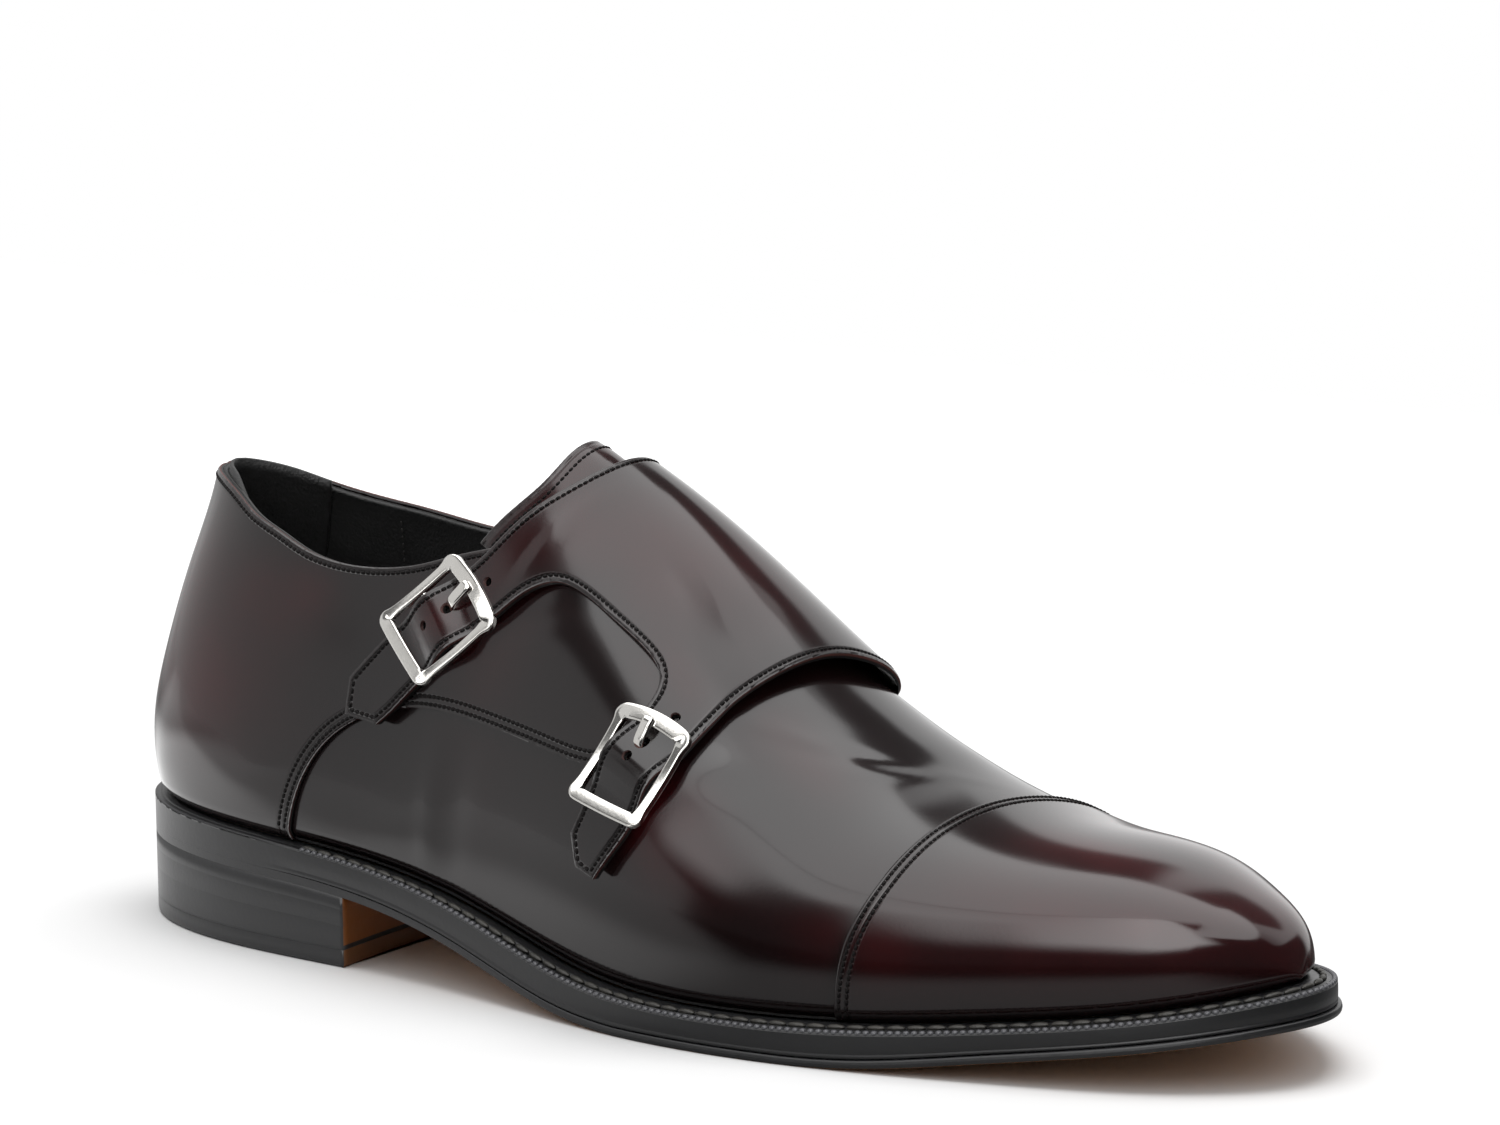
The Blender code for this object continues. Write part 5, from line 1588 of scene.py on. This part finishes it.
def heel_block(name, low, high, rows, front, node_name):
    """Closed block on the heel's plan between two heights; rows are (inset, share of the height)."""
    outline = heel_outline()
    d = np.roll(outline, -1, 0) - np.roll(outline, 1, 0)
    n = np.stack([d[:, 1], -d[:, 0]], -1)
    n /= np.linalg.norm(n, axis=1)[:, None]
    if np.sum((outline - outline.mean(0)) * n) < 0.0:
        n = -n
    count = len(outline)
    insets, shares = np.array(rows).T

    def place(i, j):
        p = outline[i % count] - n[i % count] * insets[j][:, None]
        return np.column_stack([p, low(p[:, 0]) + (high(p[:, 0]) - low(p[:, 0])) * shares[j]])

    bm = net(count + 1, len(rows), place, close_u=True, weld=0.003)
    for edges in rims(bm):
        bmesh.ops.contextual_create(bm, geom=edges)
    bmesh.ops.recalc_face_normals(bm, faces=bm.faces)
    for f in bm.faces:
        c = f.calc_center_median()
        if c.x > BREAST_X - 2.4 and abs(f.normal.x) > 0.6 and not LIFT < c.z < LIFT + 1.3:
            f.material_index = 1
    split_wide_faces(bm)
    settle(name, bm, [FINISH["edge dressing"], FINISH[front]], (node_name,))


def rims(bm):
    """Open rims of a tube, each as its own list of edges."""
    left = {e for e in bm.edges if len(e.link_faces) == 1}
    out = []
    while left:
        start = left.pop()
        loop, ends = [start], list(start.verts)
        grown = True
        while grown:
            grown = False
            for v in ends:
                for e in v.link_edges:
                    if e in left:
                        left.discard(e)
                        loop.append(e)
                        ends = list(e.verts)
                        grown = True
        out.append(loop)
    return out


def make_heel():
    """Stacked leather heel, with lines between its lifts, on a rubber lift."""
    stack = [(0.9, 0.0), (0.03, 0.0), (0.0, 0.01), (0.0, 0.09)]
    for share in (0.45, 0.76):
        stack += [(0.0, share - 0.008), (0.025, share), (0.0, share + 0.008)]
    stack += [(0.0, 1.0), (0.9, 1.0)]
    foot = [(8.0, 0.0), (0.7, 0.0), (0.3, 0.03), (0.1, 0.10), (0.0, 0.22), (0.0, 0.36), (0.0, 0.99),
            (0.03, 1.0), (0.9, 1.0)]
    heel_block("heel_blocks", lambda x: np.full(len(x), LIFT), lambda x: tread(x) - 0.02, stack,
               "heel breast", "heel_stack")
    heel_block("heel_tip", lambda x: np.zeros(len(x)), lambda x: np.full(len(x), LIFT), foot,
               "heel tip front", "top_lift")


# -------------------------------------------------------------- the buckles
def swept(path, wide, thick, closed, power, sides):
    """Bar of soft-cornered section along a path of (point, up) pairs."""
    pts, ups = (np.array(side) for side in zip(*path))
    n = len(pts)
    if closed:
        along = np.roll(pts, -1, 0) - np.roll(pts, 1, 0)
    else:
        along = np.gradient(pts, axis=0)
    along /= np.linalg.norm(along, axis=1)[:, None]
    ups = ups - along * np.sum(ups * along, axis=1)[:, None]
    ups /= np.linalg.norm(ups, axis=1)[:, None]
    side = np.cross(along, ups)
    wide, thick = np.broadcast_to(wide, n), np.broadcast_to(thick, n)

    def place(i, j):
        k = i % n
        a = 2.0 * math.pi * (j % sides + 0.5) / sides
        c, s = np.cos(a), np.sin(a)
        fx = np.sign(c) * np.abs(c) ** power * wide[k] / 2.0
        fz = np.sign(s) * np.abs(s) ** power * thick[k] / 2.0
        return pts[k] + side[k] * fx[:, None] + ups[k] * fz[:, None]

    bm = net(n + 1 if closed else n, sides + 1, place, True, True, 0.002)
    if not closed:
        for edges in rims(bm):
            bmesh.ops.contextual_create(bm, geom=edges)
    bmesh.ops.recalc_face_normals(bm, faces=bm.faces)
    return bm


# how each buckle sits: along and across the strap in mm, then yaw, pitch and roll in degrees
SEAT = {"upper": (0.6, -1.7, 5.0, 8.5, 2.8), "lower": (-1.4, -2.9, 12.0, 11.0, -5.0)}


class Seat:
    """Flat frame of a buckle on its strap: u along, v across, n away from the foot."""

    def __init__(self, bk):
        a, b, yaw, pitch, roll = SEAT[bk.name]
        self.centre = bk.point(a, b, 0.0)
        n = Vector(outward(*bk.flat(a, b)))
        u = Vector(bk.point(a + 1.0, b, 0.0) - bk.point(a - 1.0, b, 0.0))
        u = (u - n * u.dot(n)).normalized()
        v = n.cross(u)
        turn = (Matrix.Rotation(math.radians(roll), 3, u) @ Matrix.Rotation(math.radians(pitch), 3, v)
                @ Matrix.Rotation(math.radians(yaw), 3, n))
        self.u, self.v, self.n = (np.array(turn @ d) for d in (u, v, n))

    def at(self, a, b, h):
        return self.centre + self.u * a + self.v * b + self.n * h


def frame_plan(half_a, half_b, r):
    """Middle line of a frame: corners rounded, its instep end bowed."""
    plan = []
    for sa, sb, start in ((1.0, 1.0, 0.0), (-1.0, 1.0, 90.0), (-1.0, -1.0, 180.0), (1.0, -1.0, 270.0)):
        for g in np.radians(start + np.arange(0.0, 91.0, 18.0)):
            plan.append((sa * (half_a - r) + r * math.cos(g), sb * (half_b - r) + r * math.sin(g)))
        far_a, far_b = plan[-1]
        if start in (0.0, 180.0):
            plan += [(s * sa * (half_a - r), far_b) for s in np.linspace(1.0, -1.0, 16)[1:-1]]
        else:
            plan += [(far_a, s * sb * (half_b - r)) for s in np.linspace(1.0, -1.0, 13)[1:-1]]
    return np.array(plan)


# heights of a centre bar from the frame to its middle, and the course of a prong: along, height
BAR_DROP = ((0.0, FRAME_H), (1.0, 3.7), (2.2, 3.0))
PRONG_REST = FRAME_H + 1.3 + 0.85 + 0.40
PRONG_COURSE = (
    (1.2, 2.9), (2.6, 3.3), (3.8, 4.4), (4.8, 5.5), (6.0, 6.2), (8.0, 6.7),
    (9.4, PRONG_REST - 0.1), (10.2, PRONG_REST), (11.0, PRONG_REST - 0.05),
)


def make_frame(bk, seat, settings):
    """Frame with its centre bar, polished outside; the faces beneath carry painted shade, a dark copy of the
    nickel.
    """
    half_a = (round(settings.buckle_length * 1000.0, 3) - 2.9) / 2.0
    half_b = (round(settings.buckle_width * 1000.0, 3) - 2.3) / 2.0
    plan = frame_plan(half_a, half_b, 1.0)
    # end bars broad and flat, the one at the instep bowed; side bars slim at their middle
    end = smooth_step(np.abs(plan[:, 0]), half_a - 3.2, half_a - 0.3)
    fore = end * (plan[:, 0] > 0.0)
    bow = 1.0 - (plan[:, 1] / half_b) ** 2
    high = FRAME_H + 0.7 * (plan[:, 0] / half_a) ** 2 + 0.5 * fore * bow
    out = (1.0 * fore - 0.2 * (end - fore)) * bow
    path = [(seat.at(a + o, b, h), seat.n) for (a, b), o, h in zip(plan, out, high)]
    ring = swept(path, 2.05 + 0.95 * end + 0.5 * fore, 1.7 - 0.1 * end, True, 0.28, 24)
    across = [(off - half_b, h) for off, h in BAR_DROP] + [(b, 2.9) for b in (-4.0, 0.0, 4.0)]
    across += [(half_b - off, h) for off, h in BAR_DROP[::-1]]
    bar = swept([(seat.at(0.0, b, h), seat.n) for b, h in across], BAR_D, BAR_D, False, 1.0, 12)
    whole = merge_meshes([ring, bar])
    whole.normal_update()
    for f in whole.faces:
        # faces turned toward the leather get the painted shade
        f.material_index = int(f.normal.dot(Vector(seat.n)) < -0.35)
    piece = settle("buckle_frame_" + bk.name, whole, [FINISH["nickel"], FINISH["dull nickel"]],
                   ("buckle_" + bk.name,))
    piece.visible_glossy = False


def make_prong(bk, seat):
    """Prong from beside the centre bar up through the strap, its tip resting on the frame."""
    course = smooth_curve(PRONG_COURSE, 36)
    tip = np.clip((PRONG_COURSE[-1][0] - course[:, 0]) / 0.7, 0.0, 1.0) ** 0.5
    path = [(seat.at(a, 0.9, h), seat.n) for a, h in course]
    bm = swept(path, 2.5 * (0.75 + 0.25 * tip), 1.05 * (0.6 + 0.4 * tip), False, 0.42, 16)
    settle("buckle_prong_" + bk.name, bm, [FINISH["nickel"]], ("prong_" + bk.name,))


def make_buckles(settings):
    """Two buckles, each a frame and a prong."""
    for bk in SITES:
        seat = Seat(bk)
        make_frame(bk, seat, settings)
        make_prong(bk, seat)


# ------------------------------------------------------------- the stage
def at_home(x, y, z):
    """Place in the frame, in metres, of a place on the last in millimetres."""
    return (Vector((x, y, z)) - Vector(FRAME_SHIFT)) * 0.001


def make_lamp(settings):
    """Soft box overhead, left out of reflections, where the world draws its own boxes."""
    light = bpy.data.lights.new("light_top", "AREA")
    light.shape = "RECTANGLE"
    light.size, light.size_y = 1.2, 0.9
    light.energy = settings.light_power
    obj = bpy.data.objects.new("light_top", light)
    bpy.context.scene.collection.objects.link(obj)
    obj.location = (-0.05, 0.12, 1.50)
    obj.rotation_euler = (Vector((0.0, 0.0, 0.05)) - obj.location).to_track_quat("-Z", "Y").to_euler()
    obj.visible_glossy = False


def make_world(settings):
    """White to the camera and even for matt surfaces; in reflections a studio with soft boxes.

    Bearings are in degrees, 0 straight out from the outer side of the shoe and rising toward
    the toe; heights are in degrees over the horizon.
    """
    world = bpy.data.worlds.new("Studio")
    bpy.context.scene.world = world
    world.use_nodes = True
    world.cycles.sampling_method = "NONE"
    tree = world.node_tree
    tree.nodes.clear()
    path = node(tree, "ShaderNodeLightPath")
    direction = node(tree, "ShaderNodeTexCoord").outputs["Generated"]
    way = node(tree, "ShaderNodeSeparateXYZ", {"Vector": direction})
    forward, left, upward = (Value(way.outputs[axis]) for axis in "XYZ")
    degrees = 180.0 / math.pi
    bearing = forward.math("ARCTAN2", left * -1.0) * degrees
    height = upward.math("ARCSINE") * degrees
    lean = bearing - height * 0.5
    turn_away = bearing.math("ABSOLUTE")
    left_back = (0.0 - bearing).ramp(90.0, 135.0, 4.0)

    # pale walls to the left and behind; the room in front is dark
    low_down = bearing - height.fall(18.0, 36.0, 45.0)
    from_left = lean - height.fall(0.0, 12.0, 12.0)
    dark = from_left.ramp(-45.5, -40.5) * low_down.fall(116.0, 128.0)
    behind = turn_away.ramp(125.0, 150.0, settings.back_light)
    room = settings.wall_light - dark * (settings.wall_light - settings.room_light)
    room = room + behind * (1.0 - dark)
    # dark stretches of it: under the overhead box at the back and at the left, and a doorway
    for place, low, high, foot, head, depth in ((turn_away - left_back, 163.0, 184.0, 33.0, 57.0, 0.88),
                                                (bearing, -158.0, -139.0, 33.0, 54.0, 0.88),
                                                (bearing, -50.0, -24.0, 31.0, 42.0, 0.80)):
        patch = place.window(low, high, 5.0) * height.window(foot, head, 5.0)
        room = room * patch.scaled(-depth, 1.0)

    # dark gap between the boxes, leaning more and more to the right as it rises
    steep = (height - 62.0).at_least(0.0)
    bend = (height - 44.0).at_least(0.0) * 1.3 + steep * steep * 0.12
    side = lean - bend + 41.5

    # broad box overhead, its edge higher at the back with the ceiling dark under it
    start = height - turn_away.ramp(45.0, 160.0, 7.0) - left_back
    apart = side.window(-4.0, 55.0, 4.0) * height.fall(66.0, 75.0)
    top = start.ramp(42.5, 46.0) * (1.0 - apart) * settings.top_light

    # main box beside the camera, brighter toward the toe, with a dark wedge low in its left part
    right = (side + height.ramp(41.0, 48.0, 5.5)).ramp(0.5, 4.0)
    far = bearing - (height * 1.3).at_most(40.0)
    main = right * far.fall(10.0, 24.0) * height.ramp(2.0, 17.0) * height.fall(70.0, 76.0)
    wedge = (lean + 26.5).ramp(-2.0, 3.0) * height.scaled(-0.3, 3.0 - bearing).ramp(-3.5, 3.5)
    level = bearing.stretch(-18.0, 24.0, settings.strip_light, settings.main_light)
    main = main * (1.0 - wedge) * level

    # matt surfaces get an even light from above and a little from below
    matt = height.ramp(0.0, 42.0, settings.fill_light) + height.fall(-14.0, -4.0, 0.40)
    diffuse, camera = (Value(path.outputs[name]) for name in ("Is Diffuse Ray", "Is Camera Ray"))
    seen = room.at_least(top).at_least(main) * (1.0 - diffuse.at_least(camera))
    total = seen + diffuse * matt + camera
    back = node(tree, "ShaderNodeBackground", {"Color": (1.0, 1.0, 1.0, 1.0), "Strength": total})
    feed(node(tree, "ShaderNodeOutputWorld"), {"Surface": back.outputs[0]})


def grey(tree, value):
    """Colour with the same value in each part."""
    made = node(tree, "ShaderNodeCombineColor", {"Red": value, "Green": value, "Blue": value})
    return made.outputs["Color"]


def floor_finish():
    """White table; to glossy rays it shows a painted reflection, a tone that is darker where the room about
    it is.
    """
    mat, tree, shader = material("Pale floor")
    place = object_place(tree)
    noise = node(tree, "ShaderNodeTexNoise", {"Vector": place, "Scale": 3.0, "Detail": 3.0})
    tint = mixed(tree, noise.outputs["Fac"], (0.89, 0.89, 0.89, 1.0), (0.91, 0.91, 0.91, 1.0))
    axes = node(tree, "ShaderNodeSeparateXYZ", {"Vector": place})
    across, deep = Value(axes.outputs["X"]), Value(axes.outputs["Y"])
    # painted reflection: tones that the table shows only in the shoe's reflections
    front = (across + -0.01).at_most(0.0).scaled(-1.0, deep)
    near = deep.ramp(-0.115, -0.080) * across.fall(-0.02, 0.03, 0.9)
    tone = across.stretch(-0.30, 0.02, 0.76, 0.34) * front.ramp(-0.125, -0.085)
    tone = tone * deep.fall(0.03, 0.13).scaled(0.8, 0.2) * (across.ramp(-0.44, -0.30, 0.60) + 0.40)
    tone = tone * across.fall(0.16, 0.24) * (near + 1.0)
    glossy = node(tree, "ShaderNodeLightPath").outputs["Is Glossy Ray"]
    # a glow that grows with distance lets the table fade into the white behind it
    away = Value(node(tree, "ShaderNodeVectorMath", {0: place}, operation="LENGTH").outputs["Value"])
    feed(shader, {"Base Color": mixed(tree, glossy, tint, grey(tree, tone)),
                  "Emission Color": grey(tree, away.ramp(0.30, 0.75, 0.40))})
    shader.inputs["Emission Strength"].default_value = 1.0
    shader.inputs["Roughness"].default_value = 0.9
    shader.inputs["Specular IOR Level"].default_value = 0.0
    return mat


def make_floor():
    """White table that the shoe stands on."""
    bm = bmesh.new()
    bmesh.ops.create_grid(bm, x_segments=1, y_segments=1, size=1.0)
    bmesh.ops.scale(bm, vec=(0.85, 0.46, 1.0), verts=bm.verts)
    bmesh.ops.translate(bm, vec=(-0.45, 0.24, 0.0), verts=bm.verts)
    mesh = bpy.data.meshes.new("floor")
    bm.to_mesh(mesh)
    bm.free()
    mesh.materials.append(floor_finish())
    obj = bpy.data.objects.new("floor", mesh)
    bpy.context.scene.collection.objects.link(obj)


# the view: point looked at, direction and distance of the camera, its shift in its own plane
LOOK_AT = (150.0, 0.0, 45.0)
AZIMUTH, ELEVATION, ROLL = 36.73, 11.03, -0.76
DISTANCE, ASIDE, ABOVE = 1466.8, 7.37, 46.08
LENS = 164.75


def make_camera():
    """Camera ahead of the lateral side and a little above."""
    az, el, roll = (math.radians(v) for v in (AZIMUTH, ELEVATION, ROLL))
    back = Vector((math.sin(az) * math.cos(el), -math.cos(az) * math.cos(el), math.sin(el)))
    right = Vector((math.cos(az), math.sin(az), 0.0))
    up = back.cross(right)
    across = right * math.cos(roll) + up * math.sin(roll)
    upward = up * math.cos(roll) - right * math.sin(roll)
    place = Vector(LOOK_AT) + back * DISTANCE + across * ASIDE + upward * ABOVE
    data = bpy.data.cameras.new("view")
    data.lens, data.sensor_width, data.sensor_fit = LENS, 36.0, "HORIZONTAL"
    data.clip_start, data.clip_end = 0.05, 30.0
    obj = bpy.data.objects.new("view", data)
    bpy.context.scene.collection.objects.link(obj)
    turn = Matrix((across, upward, back)).transposed().to_4x4()
    obj.matrix_world = Matrix.Translation(at_home(*place)) @ turn
    bpy.context.scene.camera = obj


def make_stage(settings):
    make_floor()
    make_world(settings)
    make_lamp(settings)
    make_camera()
    bpy.context.scene.view_settings.view_transform = "Standard"


# ------------------------------------------------------------------ the add-on
class ShoeSettings(bpy.types.PropertyGroup):
    """Sizes, colours and light of the shoe"""
    burgundy: FloatVectorProperty(name="Burgundy", description="Leather where it was left light",
                                  subtype="COLOR", size=4, min=0.0, max=1.0,
                                  default=(0.060, 0.0055, 0.0070, 1.0))
    burnish_and_shade: FloatVectorProperty(name="Burnish and shade", description="Leather where it was burnished dark",
                                 subtype="COLOR", size=4, min=0.0, max=1.0,
                                 default=(0.0080, 0.0045, 0.0046, 1.0))
    gloss: FloatProperty(name="Leather roughness", description="Roughness of the polish", default=0.11,
                         min=0.02, max=0.6, subtype="FACTOR")
    stitch_pitch: FloatProperty(name="Stitch pitch", description="Length of one stitch of the upper",
                                default=0.00135, min=0.0008, max=0.004, unit="LENGTH")
    welt_pitch: FloatProperty(name="Welt stitch pitch", description="Length of one stitch of the welt",
                              default=0.0044, min=0.002, max=0.010, unit="LENGTH")
    wheel_pitch: FloatProperty(name="Wheel mark pitch", description="Length of one mark along the welt",
                               default=0.00175, min=0.001, max=0.004, unit="LENGTH")
    buckle_length: FloatProperty(name="Buckle length", description="Buckle along its strap",
                                 default=0.023, min=0.018, max=0.030, unit="LENGTH")
    buckle_width: FloatProperty(name="Buckle width", description="Buckle across its strap",
                                default=0.0195, min=0.017, max=0.024, unit="LENGTH")
    light_power: FloatProperty(name="Lamp", description="Power of the lamp overhead", default=16.0, min=0.0,
                               unit="POWER")
    fill_light: FloatProperty(name="Fill", description="Even light on matt surfaces", default=0.72, min=0.0)
    room_light: FloatProperty(name="Room", description="Dark room in reflections", default=0.05, min=0.0)
    wall_light: FloatProperty(name="Walls", description="Pale walls in reflections", default=0.64, min=0.0)
    back_light: FloatProperty(name="Back wall", description="Wall behind the shoe, over the others",
                              default=0.45, min=0.0)
    top_light: FloatProperty(name="Overhead box", description="Box overhead in reflections", default=2.5,
                             min=0.0)
    main_light: FloatProperty(name="Main box", description="Main box in reflections", default=4.0, min=0.0)
    strip_light: FloatProperty(name="Strip box", description="Left part of the main box in reflections",
                               default=2.0, min=0.0)


class SHOE_OT_finishes(bpy.types.Operator):
    """Make the leathers, threads, edge dressings and metal"""
    bl_idname = "shoe.finishes"
    bl_label = "Finishes"

    def execute(self, context):
        make_finishes(context.scene.shoe_settings)
        return {"FINISHED"}


class SHOE_OT_vamp(bpy.types.Operator):
    """Build the vamp, creased behind the toe cap"""
    bl_idname = "shoe.vamp"
    bl_label = "Vamp"

    def execute(self, context):
        make_vamp()
        return {"FINISHED"}


class SHOE_OT_lining(bpy.types.Operator):
    """Build the lining, the heel grip and the sock"""
    bl_idname = "shoe.lining"
    bl_label = "Lining and sock"

    def execute(self, context):
        make_lining()
        make_sock()
        return {"FINISHED"}


class SHOE_OT_quarters(bpy.types.Operator):
    """Build both quarters, with the flap and its two straps"""
    bl_idname = "shoe.quarters"
    bl_label = "Quarters and straps"

    def execute(self, context):
        make_quarters()
        return {"FINISHED"}


class SHOE_OT_toe_cap(bpy.types.Operator):
    """Build the toe cap"""
    bl_idname = "shoe.toe_cap"
    bl_label = "Toe cap"

    def execute(self, context):
        make_cap()
        return {"FINISHED"}


class SHOE_OT_tongue(bpy.types.Operator):
    """Build the tongue"""
    bl_idname = "shoe.tongue"
    bl_label = "Tongue"

    def execute(self, context):
        make_tongue()
        return {"FINISHED"}


class SHOE_OT_stitching(bpy.types.Operator):
    """Sew the upper"""
    bl_idname = "shoe.stitching"
    bl_label = "Upper stitching"

    def execute(self, context):
        sew_leather(context.scene.shoe_settings)
        return {"FINISHED"}


class SHOE_OT_welt(bpy.types.Operator):
    """Build the welt with its seam and wheeled edge"""
    bl_idname = "shoe.welt"
    bl_label = "Welt"

    def execute(self, context):
        make_welt()
        sew_welt(context.scene.shoe_settings)
        return {"FINISHED"}


class SHOE_OT_sole(bpy.types.Operator):
    """Build the outsole and the stacked heel"""
    bl_idname = "shoe.sole"
    bl_label = "Outsole and heel"

    def execute(self, context):
        make_outsole()
        make_heel()
        return {"FINISHED"}


class SHOE_OT_buckles(bpy.types.Operator):
    """Build both buckles and their prongs"""
    bl_idname = "shoe.buckles"
    bl_label = "Buckles"

    def execute(self, context):
        make_buckles(context.scene.shoe_settings)
        return {"FINISHED"}


class SHOE_OT_stage(bpy.types.Operator):
    """Set the floor, the studio light and the camera"""
    bl_idname = "shoe.stage"
    bl_label = "Stage"

    def execute(self, context):
        make_stage(context.scene.shoe_settings)
        return {"FINISHED"}


class SHOE_PT_panel(bpy.types.Panel):
    """Steps and settings of the shoe"""
    bl_idname = "SHOE_PT_panel"
    bl_label = "Double Monk Shoe"
    bl_space_type = "VIEW_3D"
    bl_region_type = "UI"
    bl_category = "Shoe"

    def draw(self, context):
        settings = context.scene.shoe_settings
        for name in settings.bl_rna.properties.keys():
            if name not in ("rna_type", "name"):
                self.layout.prop(settings, name)
        for step in STEPS:
            self.layout.operator(step.bl_idname)


STEPS = (SHOE_OT_finishes, SHOE_OT_vamp, SHOE_OT_lining, SHOE_OT_quarters, SHOE_OT_toe_cap, SHOE_OT_tongue,
         SHOE_OT_stitching, SHOE_OT_welt, SHOE_OT_sole, SHOE_OT_buckles, SHOE_OT_stage)
CLASSES = (ShoeSettings, *STEPS, SHOE_PT_panel)


def register():
    for cls in CLASSES:
        bpy.utils.register_class(cls)
    bpy.types.Scene.shoe_settings = PointerProperty(type=ShoeSettings)


def unregister():
    del bpy.types.Scene.shoe_settings
    for cls in reversed(CLASSES):
        bpy.utils.unregister_class(cls)


def main():
    register()
    for step in (bpy.ops.shoe.finishes, bpy.ops.shoe.vamp, bpy.ops.shoe.lining, bpy.ops.shoe.quarters,
                 bpy.ops.shoe.toe_cap, bpy.ops.shoe.tongue, bpy.ops.shoe.stitching, bpy.ops.shoe.welt,
                 bpy.ops.shoe.sole, bpy.ops.shoe.buckles, bpy.ops.shoe.stage):
        step()
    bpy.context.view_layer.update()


if __name__ == "__main__":
    main()
